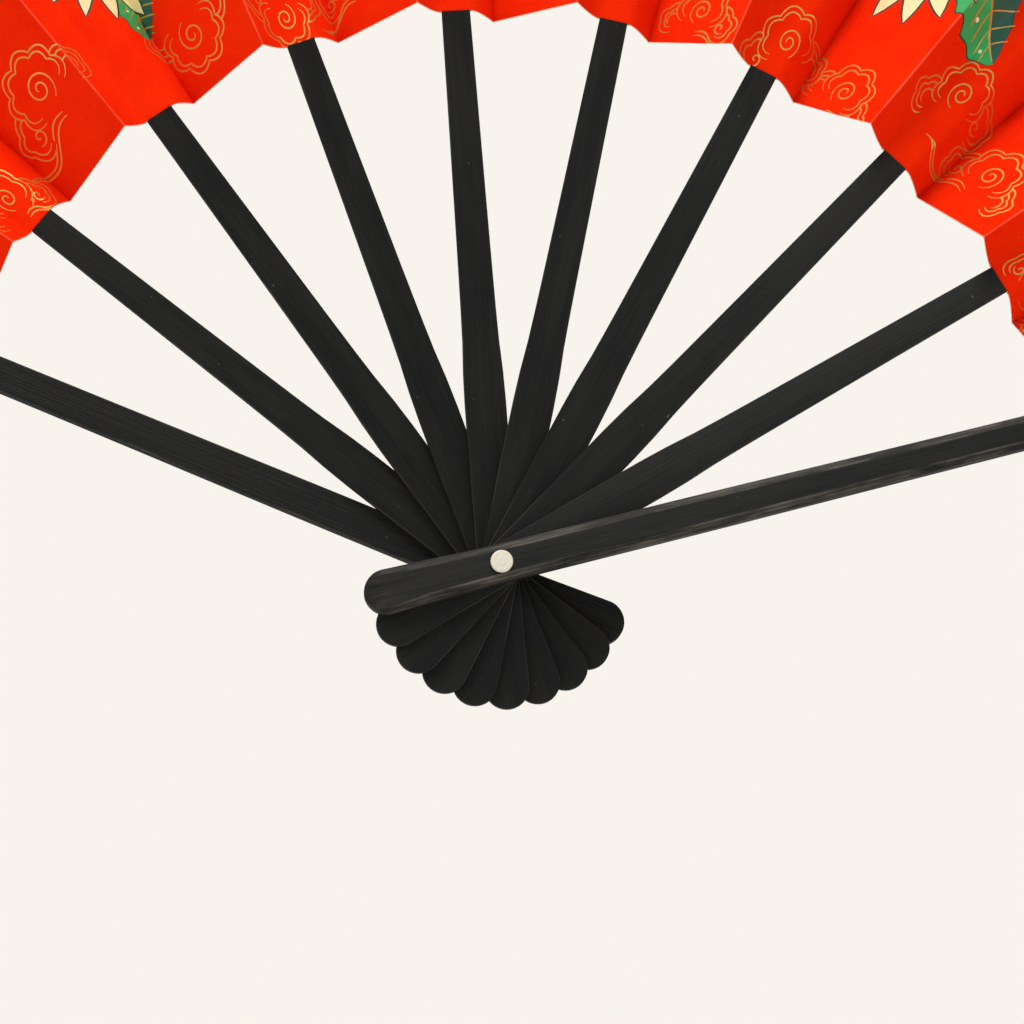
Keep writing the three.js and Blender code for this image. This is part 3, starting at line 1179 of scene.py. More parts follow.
@dataclass
class Rivet:
    """The plastic pin through every stick, pressed to a low dome at both ends."""

    finishes: Finishes
    head_radius: float = 2.05 * MM
    head_height: float = 0.7 * MM
    shank_radius: float = 1.5 * MM
    dimple_radius: float = 0.32 * MM
    dimple_depth: float = 0.03 * MM
    ring_depth: float = 0.012 * MM
    rim_round: float = 0.36 * MM
    under_round: float = 0.05 * MM
    steps: int = 64
    rim_steps: int = 8
    sharp_over_deg: float = 40

    UV_MAP = "moulding"
    RING = (0.62, 0.64, 0.67, 0.69)  # where the moulded ring starts, is deep and ends, in rims

    def _profile(self, length: float) -> list[tuple[float, float]]:
        """Draw the pin's outline.

        Args:
            length: the pin's length over both heads.

        Returns:
            Radius and distance along the pin, from the front face's centre to the rear one's.
        """
        rim = self.head_radius - self.rim_round
        head = [(0.0, self.dimple_depth), (0.5 * self.dimple_radius, 0.75 * self.dimple_depth)]
        head.append((self.dimple_radius, 0.0))
        ring_depths = (0.0, self.ring_depth, self.ring_depth, 0.0)
        head += [(share * rim, depth) for share, depth in zip(self.RING, ring_depths)]
        for angle in np.linspace(0, math.pi / 2, self.rim_steps + 1):
            out, down = self.rim_round * math.sin(angle), self.rim_round * (1 - math.cos(angle))
            head.append((rim + out, down))
        head.append((self.head_radius, self.head_height - self.under_round))
        head.append((self.head_radius - self.under_round, self.head_height))
        head.append((self.shank_radius, self.head_height))
        return head + [(radius, length - along) for radius, along in reversed(head)]

    def build(self) -> None:
        """Turn the profile about the pin's axis and hand it over."""
        low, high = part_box("rivet")
        profile = self._profile(high.y - low.y)
        points, uvs, faces = [], [], []
        for radius, along in profile[1:-1]:
            for i in range(self.steps):
                angle = TAU * i / self.steps
                x, z = radius * math.cos(angle), radius * math.sin(angle)
                points.append((x, low.y + along, z))
                uvs.append((x + along, z))
        front = len(points)
        points += [(0, low.y + profile[0][1], 0), (0, low.y + profile[-1][1], 0)]
        uvs += [(0, 0), (high.y - low.y, 0)]
        for row in range(len(profile) - 3):
            for i in range(self.steps):
                a, b = row * self.steps + i, row * self.steps + (i + 1) % self.steps
                faces.append((a, a + self.steps, b + self.steps, b))
        last = front - self.steps
        for i in range(self.steps):
            j = (i + 1) % self.steps
            faces.append((front, i, j))
            faces.append((front + 1, last + j, last + i))
        piece = mesh_object("rivet_pin", points, faces)
        store_uv(piece.data, self.UV_MAP, np.array(uvs))
        piece.data.materials.append(self.finishes.rivet)
        softened(piece, self.sharp_over_deg)
        hand_over(piece, "rivet", "front_guard")


# ------------------------------------------------------------------ the leaf's flat layout


@dataclass(frozen=True)
class Layout:
    """The leaf unrolled flat, in millimetres, with the rivet's axis at the origin.

    Panels are numbered from right to left: an even one lies on a stick, an odd one between two.
    A share runs across a panel, from -1 at its right fold to 1 at its left fold.
    """

    plan: FanPlan
    stick_spread: float = math.radians(11.1)
    fold_spread: float = math.radians(10.5)

    @property
    def panels(self) -> int:
        """How many panels the leaf has."""
        return 2 * self.plan.last + 1

    def spread(self, panel: int) -> float:
        """A panel's angle in the flat sheet."""
        return self.fold_spread if panel % 2 else self.stick_spread

    def centre(self, panel: float) -> float:
        """The flat angle of a panel's middle line, counted anticlockwise from +X."""
        step = (self.stick_spread + self.fold_spread) / 2
        return math.pi / 2 + (panel - self.plan.last) * step

    def flat_point(self, azimuth_deg: float, radius: float) -> tuple[float, float]:
        """The flat place of a point of the open fan.

        Args:
            azimuth_deg: its angle in the open fan, anticlockwise from +X.
            radius: its distance from the rivet in millimetres.

        Returns:
            The radius and the flat angle.
        """
        turned = (math.radians(azimuth_deg) - math.pi / 2) / (self.plan.pitch / 2)
        panel = round(turned + self.plan.last)
        share = 2 * (turned + self.plan.last - panel)
        return radius, self.centre(panel) + share * self.spread(panel) / 2

    def share_limits(self, panel: int, radius: float) -> tuple[float, float]:
        """Find a panel's right and left edges, which a guard cuts short.

        Args:
            panel: the panel's number.
            radius: the distance from the rivet in millimetres.

        Returns:
            The shares at which they lie.
        """
        edge = self.plan.guard_leaf_half / MM / radius / self.plan.fold_azimuth
        if panel == 0:
            return -edge, 1.0
        if panel == self.panels - 1:
            return -1.0, edge
        return -1.0, 1.0

    def to_flat(self, panel: int, share: Sequence[float], radius: float) -> Points:
        """Flat X and Y of points at one radius, given by their shares."""
        angle = self.centre(panel) + np.asarray(share) * self.spread(panel) / 2
        return np.stack([radius * np.cos(angle), radius * np.sin(angle)], axis=-1)

    def from_flat(self, panel: int, points: Points) -> tuple[Points, Points]:
        """Find where flat points lie on a panel.

        Args:
            panel: the panel's number.
            points: the points' flat X and Y.

        Returns:
            Each point's share and its radius.
        """
        angle = np.arctan2(points[:, 1], points[:, 0])
        angle = np.where(angle < -math.pi / 2, angle + TAU, angle)
        share = (angle - self.centre(panel)) / (self.spread(panel) / 2)
        return share, np.hypot(points[:, 0], points[:, 1])


# ------------------------------------------------------------------ artwork


@dataclass(frozen=True)
class Mark:
    """One painted patch of the flat sheet, as the points of its outline."""

    paint: Paint
    outline: Points


@dataclass
class Motif:
    """Draws round a point of the flat sheet: x runs to the right and y away from the rivet."""

    layout: Layout
    azimuth_deg: float
    radius: float
    scale: float = 1.0
    turn_deg: float = 0.0
    mirrored: bool = False
    marks: list[Mark] = field(default_factory=list)

    LONGEST_EDGE = 1.5  # mm between two points of an outline
    LEAST_AREA = 1e-4  # square mm, below which a patch is left out
    THIN_END = 0.4  # a line's width at its ends, as a share of its full width
    TAPER_RATE = 7  # a line reaches its full width a seventh of the way along

    def __post_init__(self) -> None:
        """Find the motif's place and its two axes."""
        radius, angle = self.layout.flat_point(self.azimuth_deg, self.radius)
        out = np.array([math.cos(angle), math.sin(angle)])
        right = np.array([out[1], -out[0]])
        turn = math.radians(self.turn_deg)
        self.origin = radius * out
        hand = -1.0 if self.mirrored else 1.0
        self.right = hand * self.scale * (math.cos(turn) * right + math.sin(turn) * out)
        self.up = self.scale * (math.cos(turn) * out - math.sin(turn) * right)

    def place(self, points: Points) -> Points:
        """Take local points to the flat sheet."""
        points = np.asarray(points, dtype=float)
        return self.origin + points[:, :1] * self.right + points[:, 1:] * self.up

    def patch(self, paint: Paint, points: Points) -> None:
        """Paint a closed patch."""
        self._add(paint, self.place(points))

    def line(self, points: Points, width: float = 0.35, paint: Paint = Paint.GOLD) -> None:
        """Draw a brushed line that thins at both ends.

        Args:
            points: the line's local points.
            width: its full width in millimetres, whatever the motif's scale.
            paint: its colour.
        """
        path = self.place(points)
        along = np.gradient(path, axis=0)
        along /= np.maximum(np.linalg.norm(along, axis=1, keepdims=True), TINY)
        share = np.linspace(0, 1, len(path))
        swell = np.minimum(1, self.TAPER_RATE * np.minimum(share, 1 - share))
        taper = self.THIN_END + (1 - self.THIN_END) * swell
        side = np.stack([-along[:, 1], along[:, 0]], axis=1) * (width / 2 * taper)[:, None]
        left, right = path + side, path - side
        for i in range(len(path) - 1):
            self._add(paint, np.array([left[i], right[i], right[i + 1], left[i + 1]]))

    def _add(self, paint: Paint, outline: Points) -> None:
        """Keep a patch, its outline running anticlockwise and fine enough to bend with the pleats.

        Args:
            paint: the patch's colour.
            outline: its corners on the flat sheet.
        """
        x, y = outline[:, 0], outline[:, 1]
        area = 0.5 * np.sum(x * np.roll(y, -1) - y * np.roll(x, -1))
        if abs(area) < self.LEAST_AREA:
            return
        corners = outline if area > 0 else outline[::-1]
        fine = []
        for start, end in zip(corners, np.roll(corners, -1, axis=0)):
            steps = math.ceil(np.linalg.norm(end - start) / self.LONGEST_EDGE)
            fine += [start + (end - start) * i / steps for i in range(steps)]
        self.marks.append(Mark(paint, np.array(fine)))


def arc(centre: Sequence[float], radius: float, start_deg: float, end_deg: float, steps: int) -> Points:
    """Draw part of a circle.

    Args:
        centre: its centre.
        radius: its radius.
        start_deg: the angle at which it starts.
        end_deg: the angle at which it ends.
        steps: how many points it has.

    Returns:
        Its points.
    """
    angles = np.radians(np.linspace(start_deg, end_deg, steps))
    return np.asarray(centre) + radius * np.stack([np.cos(angles), np.sin(angles)], axis=1)


def scallops(
    centre: Sequence[float], half: Sequence[float], start_deg: float, end_deg: float, lobes: int
) -> Points:
    """Draw a row of round lobes along part of an ellipse.

    Args:
        centre: the ellipse's centre.
        half: its half width and half height.
        start_deg: the angle at which the row starts.
        end_deg: the angle at which it ends.
        lobes: how many lobes it has.

    Returns:
        Points along the row.
    """
    bulge, roundness, steps = 0.34, 0.75, 9
    angles = np.radians(np.linspace(start_deg, end_deg, lobes + 1))
    knots = np.stack([half[0] * np.cos(angles), half[1] * np.sin(angles)], axis=1)
    row = []
    for a, b in zip(knots, knots[1:]):
        chord = b - a
        out = np.array([chord[1], -chord[0]])
        if np.dot(out, a + b) < 0:
            out = -out
        for t in np.linspace(0, 1, steps, endpoint=False):
            row.append(a + t * chord + out * bulge * math.sin(math.pi * t) ** roundness)
    return np.asarray(centre) + np.array(row + [knots[-1]])


def spiral(centre: Sequence[float], radius: float, turns: float, start_deg: float) -> Points:
    """Draw a scroll that winds in to its middle.

    Args:
        centre: its middle.
        radius: its radius at the outer end.
        turns: how often it goes round.
        start_deg: the angle of the outer end.

    Returns:
        Its points from the outer end in.
    """
    steps_in_turn, least_steps, wound_in = 18, 10, 0.86
    share = np.linspace(0, 1, max(least_steps, round(steps_in_turn * turns)))
    angle = math.radians(start_deg) + TAU * turns * share
    reach = radius * (1 - wound_in * share**0.8)
    return np.asarray(centre) + np.stack([np.cos(angle), np.sin(angle)], axis=1) * reach[:, None]


class Cloud(Motif):
    """A scrolled cloud in double gold lines, with a tail that drifts off to one side."""

    GAP = 1.05  # mm between the two lines of a pair
    INSET_DEG = 7  # how much later the inner line starts, and how much sooner it ends
    WAVE = 13  # mm from crest to crest of the tail
    SWING = 1.25  # mm from the tail's middle to a crest

    def _puff(
        self, centre: Sequence[float], half: Sequence[float], start: float, end: float, lobes: int
    ) -> None:
        """Draw a lobed mass with a double outline, which hides whatever lies under it.

        Args:
            centre: its centre.
            half: its half width and half height.
            start: the angle in degrees at which its outline starts.
            end: the angle at which it ends.
            lobes: how many lobes it has.
        """
        outline = scallops(centre, half, start, end, lobes)
        gap = self.GAP / self.scale
        self.patch(Paint.RED_FRONT, outline)
        self.line(outline)
        inner = (half[0] - gap, half[1] - gap)
        self.line(scallops(centre, inner, start + self.INSET_DEG, end - self.INSET_DEG, lobes))

    def _tail(self, length: float) -> None:
        """Draw two wavy lines that drift to the left from under the cloud and close up.

        Args:
            length: the tail's length in millimetres.
        """
        share = np.linspace(0, 1, round(2.2 * length))
        for upper in (0.0, 1.0):  # 0 for the lower line
            swing = self.SWING * np.sin(TAU * length / self.WAVE * share + 0.4 - 0.3 * upper)
            gap = 1.3 * self.GAP * (upper - 0.5) * (1 - 0.8 * share)
            reach = -1.0 - (length - 1.6 * upper) * share
            self.line(np.stack([reach, -6.6 - 2.4 * share + swing + gap], axis=1))

    def draw(self, lobes: int, tail: float) -> list[Mark]:
        """Draw the cloud.

        Args:
            lobes: how many lobes its crown has.
            tail: the tail's length in millimetres, or 0 for none.

        Returns:
            The cloud's marks.
        """
        if tail:
            self._tail(tail)
        self._puff((-6.3, -3.3), (4.7, 3.7), 62, 268, 3)
        self.line(spiral((-7.2, -3.7), 1.7, 1.1, 220))
        self._puff((6.2, -3.9), (4.1, 3.2), -92, 112, 3)
        self.line(arc((6.8, -4.1), 1.6, -60, 170, 9))
        self._puff((0.0, 0.0), (6.2, 5.5), -46, 226, lobes)
        self.line(spiral((0.1, -0.5), 3.3, 1.75, -80))
        return self.marks


class Chrysanthemum(Motif):
    """A round flower of long petals in three rings, one on the other."""

    RINGS = ((2.6, 13.0, 1.75), (2.0, 8.6, 1.35), (1.2, 5.2, 0.9))  # mm: start, end, half width
    EDGE = 0.32  # mm of dark edge round a petal
    EYE, EYE_EDGE, SEED = 1.7, 2.0, 0.3  # radii in mm
    SEEDS = 7

    def _petal(self, angle_deg: float, start: float, end: float, half: float) -> tuple[Points, Points]:
        """Draw a petal.

        Args:
            angle_deg: the way it points.
            start: the distance of its inner end from the flower's middle.
            end: the distance of its tip.
            half: its half width.

        Returns:
            The outlines of its dark edge and of its painted middle.
        """
        share = np.linspace(0, 1, 9)
        width = half * np.sin(math.pi * share**0.72) ** 0.8
        both = []
        for grow in (self.EDGE, 0.0):
            along = start - grow + (end - start + 2 * grow) * share
            side = width + grow * np.sin(math.pi * share) ** 0.4
            outline = np.concatenate(
                [np.stack([along, side], axis=1), np.stack([along, -side], axis=1)[-2:0:-1]]
            )
            turn = math.radians(angle_deg)
            spin = np.array([[math.cos(turn), math.sin(turn)], [-math.sin(turn), math.cos(turn)]])
            both.append(outline @ spin)
        return both[0], both[1]

    def draw(self, petals: int, main: Paint, shade: Paint) -> list[Mark]:
        """Draw the flower.

        Args:
            petals: how many petals its outer ring has.
            main: the colour of the outer ring.
            shade: the colour of the middle ring.

        Returns:
            The flower's marks.
        """
        for ring, (size, colour) in enumerate(zip(self.RINGS, (main, shade, main))):
            for i in range(petals):
                edge, middle = self._petal(360 * (i + 0.5 * ring) / petals, *size)
                self.patch(Paint.INK, edge)
                self.patch(colour, middle)
        self.patch(Paint.INK, arc((0, 0), self.EYE_EDGE, 0, 340, 18))
        self.patch(Paint.GOLD, arc((0, 0), self.EYE, 0, 340, 18))
        for i in range(self.SEEDS):
            turn = TAU * i / self.SEEDS
            self.patch(Paint.STRAW, arc((math.cos(turn), math.sin(turn)), self.SEED, 0, 300, 6))
        return self.marks


class Foliage(Motif):
    """A broad notched leaf, darker on one side, with gold veins."""

    EDGE = 0.35  # mm of dark edge round the leaf
    DOT = 0.35  # mm, a dot's radius
    MIDRIB_WIDTH, VEIN_WIDTH = 0.5, 0.32  # mm
    VEINS = range(6, 27, 4)  # where the pairs of veins start, of the 33 points along the leaf

    def draw(self, length: float = 17.0, half: float = 6.2) -> list[Mark]:
        """Draw the leaf, its stalk at the motif's point and its tip away from the rivet.

        Args:
            length: the leaf's length in millimetres.
            half: its half width.

        Returns:
            The leaf's marks.
        """
        share = np.linspace(0, 1, 33)
        body = half * np.sin(math.pi * share**0.8) ** 0.75
        notch = 1 - 0.16 * np.abs(np.sin(5 * math.pi * share))
        sway = 1.6 * np.sin(1.4 * math.pi * share)
        for grow, left, right in ((self.EDGE, Paint.INK, Paint.INK), (0.0, Paint.GREEN, Paint.PINE)):
            side = (body + grow * np.sin(math.pi * share) ** 0.3) * notch
            middle = np.stack([sway, length * share], axis=1)
            rims = [middle + np.stack([hand * side, 0 * side], axis=1) for hand in (-1, 1)]
            for rim, paint in zip(rims, (left, right)):
                self.patch(paint, np.concatenate([middle, rim[-2:0:-1]]))
        self.line(np.stack([sway, length * share], axis=1)[1:-1], self.MIDRIB_WIDTH)
        for i, at in enumerate(self.VEINS):
            reach = 0.72 * body[at]
            for hand in (-1, 1):
                t = np.linspace(0, 1, 6)
                vein = np.stack(
                    [sway[at] + hand * reach * t, length * share[at] + 0.55 * reach * t**1.3], axis=1
                )
                self.line(vein, self.VEIN_WIDTH)
            if i % 2:
                dot = (sway[at] - 0.45 * body[at], length * share[at])
                self.patch(Paint.CREAM, arc(dot, self.DOT, 0, 300, 6))
        return self.marks


@dataclass
class Artwork:
    """Everything printed on the leaf, in painting order."""

    layout: Layout
    marks: list[Mark] = field(default_factory=list)

    # azimuth in the open fan, distance from the rivet in mm, scale, turn, mirrored, lobes, tail
    CLOUDS = (
        (24.5, 119, 0.95, 10, True, 5, 14),
        (31.5, 114, 0.90, -20, False, 4, 0),
        (43.0, 121, 1.00, -8, False, 5, 17),
        (50.0, 128, 1.05, 12, True, 6, 0),
        (58.2, 114, 0.90, -28, True, 5, 13),
        (65.5, 117, 1.05, 24, False, 5, 0),
        (74.0, 116, 0.85, -10, True, 4, 13),
        (83.0, 131, 0.95, 8, False, 5, 16),
        (98.0, 130, 0.95, -8, True, 5, 16),
        (107.5, 121, 0.90, 12, False, 4, 12),
        (114.5, 114, 0.90, 165, True, 5, 14),
        (122.8, 119, 1.05, 184, False, 6, 0),
        (137.0, 127, 1.15, 14, False, 6, 21),
        (146.0, 117, 0.90, -10, True, 4, 13),
        (156.0, 122, 1.00, 0, False, 5, 16),
        (28.0, 152, 1.15, 8, False, 6, 24),
        (24.0, 236, 1.20, 0, False, 5, 26),
        (36.5, 208, 1.35, -8, True, 6, 26),
        (38.0, 246, 1.10, 6, False, 5, 22),
        (52.0, 226, 1.35, 8, False, 6, 28),
        (66.0, 164, 1.05, -8, True, 5, 20),
        (68.0, 199, 1.30, 6, True, 6, 26),
        (72.0, 243, 1.15, 0, False, 5, 26),
        (79.0, 152, 1.05, -6, False, 5, 18),
        (90.0, 247, 1.15, 0, True, 5, 26),
        (101.0, 152, 1.05, 6, True, 5, 18),
        (108.0, 243, 1.15, 0, True, 5, 26),
        (112.0, 198, 1.30, -6, False, 6, 26),
        (115.0, 162, 1.05, 8, False, 5, 20),
        (128.0, 226, 1.35, -8, True, 6, 28),
        (142.0, 247, 1.10, -6, True, 5, 22),
        (144.0, 208, 1.35, 8, False, 6, 26),
        (152.0, 154, 1.15, -8, True, 6, 24),
        (156.5, 236, 1.20, 0, True, 5, 26),
    )
    # azimuth, distance, scale, petals, the outer ring's colour and the middle one's
    FLOWERS = (
        (42.5, 168, 1.15, 14, Paint.CREAM, Paint.ROSE),
        (59.0, 150.5, 1.50, 16, Paint.CREAM, Paint.STRAW),
        (90.0, 192, 1.70, 18, Paint.CREAM, Paint.ROSE),
        (82.5, 168, 1.00, 14, Paint.ROSE, Paint.CREAM),
        (99.0, 171, 0.95, 14, Paint.CREAM, Paint.STRAW),
        (126.5, 148.5, 1.50, 16, Paint.CREAM, Paint.STRAW),
        (145.0, 176, 1.10, 14, Paint.CREAM, Paint.ROSE),
    )
    # the turn and scale of each leaf under each flower
    SPRAYS = (
        ((20, 0.9), (200, 0.9), (290, 1.0)),
        ((243, 1.5), (300, 1.1), (20, 1.3), (75, 1.3)),
        ((40, 1.5), (110, 1.4), (180, 1.3), (250, 1.4), (320, 1.5)),
        ((90, 1.0), (160, 0.9)),
        ((200, 0.9), (270, 1.0)),
        ((186, 0.95), (228, 0.9), (330, 1.3), (60, 1.3)),
        ((60, 1.0), (150, 0.9), (340, 1.0)),
    )
    FLOWER_CORE = 5.5  # mm from a flower's middle to the foot of its leaves, at scale 1
    FLOWER_TURN = 11  # degrees

    def compose(self) -> list[Mark]:
        """Draw the clouds, then each flower on its spray of leaves.

        Returns:
            Every mark in painting order.
        """
        for azimuth, radius, scale, turn, mirrored, lobes, tail in self.CLOUDS:
            cloud = Cloud(self.layout, azimuth, radius, scale, turn, mirrored)
            self.marks += cloud.draw(lobes, tail)
        for (azimuth, radius, scale, petals, main, shade), spray in zip(self.FLOWERS, self.SPRAYS):
            for number, (turn, size) in enumerate(spray):
                leaf = Foliage(self.layout, azimuth, radius, size, turn, number % 2 == 0)
                leaf.origin = leaf.origin + self.FLOWER_CORE * scale * leaf.up / size
                self.marks += leaf.draw()
            flower_head = Chrysanthemum(self.layout, azimuth, radius, scale, self.FLOWER_TURN)
            self.marks += flower_head.draw(petals, main, shade)
        LOG.info("artwork: %d marks", len(self.marks))
        return self.marks


# ------------------------------------------------------------------ leaf


FLANK_POWER = 1.3  # over 1, so that a pleat's flank leaves the strip on the stick in a curve
SLOPE_GROWTH = 0.4  # how much more of Y a ply takes up where it slopes
RIDGE_FALL = (1.2 * MM, 4.2 * MM)  # from a rib's middle, where the ridge over its tongue falls off


def pleat_tree(finishes: Finishes) -> bpy.types.NodeTree:
    """Geometry Nodes that fold a flat panel of one ply into its place in the open fan.

    Args:
        finishes: the fan's materials, one for each paint.

    Returns:
        The tree. Each point brings its share across the panel, its radius and its layer: 0 on
        the ply's outer face and 1 on its inner face.
    """
    inputs = {"Geometry": ("NodeSocketGeometry", None)}
    numbers = ("Turn", "Right Depth", "Left Depth", "Between Sticks", "Side", "Half Angle", "Fold Rise")
    numbers += ("Flat Half Width", "Inner Offset", "Ply", "Ridge")
    inputs.update({label: ("NodeSocketFloat", 0.0) for label in numbers})
    tree, given, sink = group_tree(
        "pleat", "GeometryNodeTree", inputs, {"Geometry": "NodeSocketGeometry"}
    )

    def stored(name: str) -> Field:
        """Read a number that the mesh carries.

        Args:
            name: the attribute's name.

        Returns:
            Its value.
        """
        node = tree.nodes.new("GeometryNodeInputNamedAttribute")
        node.data_type = "FLOAT"
        node.inputs["Name"].default_value = name
        return Field(tree, node.outputs["Attribute"])

    share, radius, layer = stored("share"), stored("radius"), stored("layer")
    azimuth = share * given["Half Angle"]
    across = radius * azimuth.math("SINE")
    along = radius * azimuth.math("COSINE")
    away = across.math("ABSOLUTE")
    fold_away = radius * given["Half Angle"].math("SINE")
    flank = ((away - given["Flat Half Width"]) / (fold_away - given["Flat Half Width"])).clamped()
    rise = radius * given["Fold Rise"]
    on_stick = given["Right Depth"] - share.math("SIGN") * rise * flank.math("POWER", FLANK_POWER)
    mountain = given["Right Depth"] - rise
    valley = given["Left Depth"] + rise
    between = mountain + (valley - mountain) * (share * 0.5 + 0.5)
    middle = on_stick + (between - on_stick) * given["Between Sticks"]
    sloping = flank.step(0.0, 0.5).math("MAXIMUM", given["Between Sticks"])
    growth = sloping * SLOPE_GROWTH + 1.0
    ridge = given["Ridge"] - given["Ridge"] * away.step(*RIDGE_FALL)
    thickness = given["Ply"] * growth * (layer.math("MULTIPLY", -1.0) + 1.0)
    depth = middle + given["Side"] * (given["Inner Offset"] + ridge + thickness)

    folded = tree.nodes.new("ShaderNodeCombineXYZ")
    plug(tree, folded.inputs["X"], across * -1.0)
    plug(tree, folded.inputs["Y"], depth)
    plug(tree, folded.inputs["Z"], along)
    turned = tree.nodes.new("ShaderNodeVectorRotate")
    turned.rotation_type = "Y_AXIS"
    tree.links.new(folded.outputs["Vector"], turned.inputs["Vector"])
    plug(tree, turned.inputs["Angle"], given["Turn"])
    moved = tree.nodes.new("GeometryNodeSetPosition")
    plug(tree, moved.inputs["Geometry"], given["Geometry"])
    tree.links.new(turned.outputs["Vector"], moved.inputs["Position"])
    real = tree.nodes.new("GeometryNodeRealizeInstances")
    tree.links.new(moved.outputs["Geometry"], real.inputs["Geometry"])
    geometry = real.outputs["Geometry"]
    paint_number = stored("paint")
    for paint in Paint:
        dressed = tree.nodes.new("GeometryNodeSetMaterial")
        dressed.inputs["Material"].default_value = finishes.paints[paint]
        tree.links.new(geometry, dressed.inputs["Geometry"])
        chosen = paint_number.math("COMPARE", float(paint.value), 0.5)
        tree.links.new(chosen.socket, dressed.inputs["Selection"])
        geometry = dressed.outputs["Geometry"]
    tree.links.new(geometry, sink.inputs["Geometry"])
    return tree


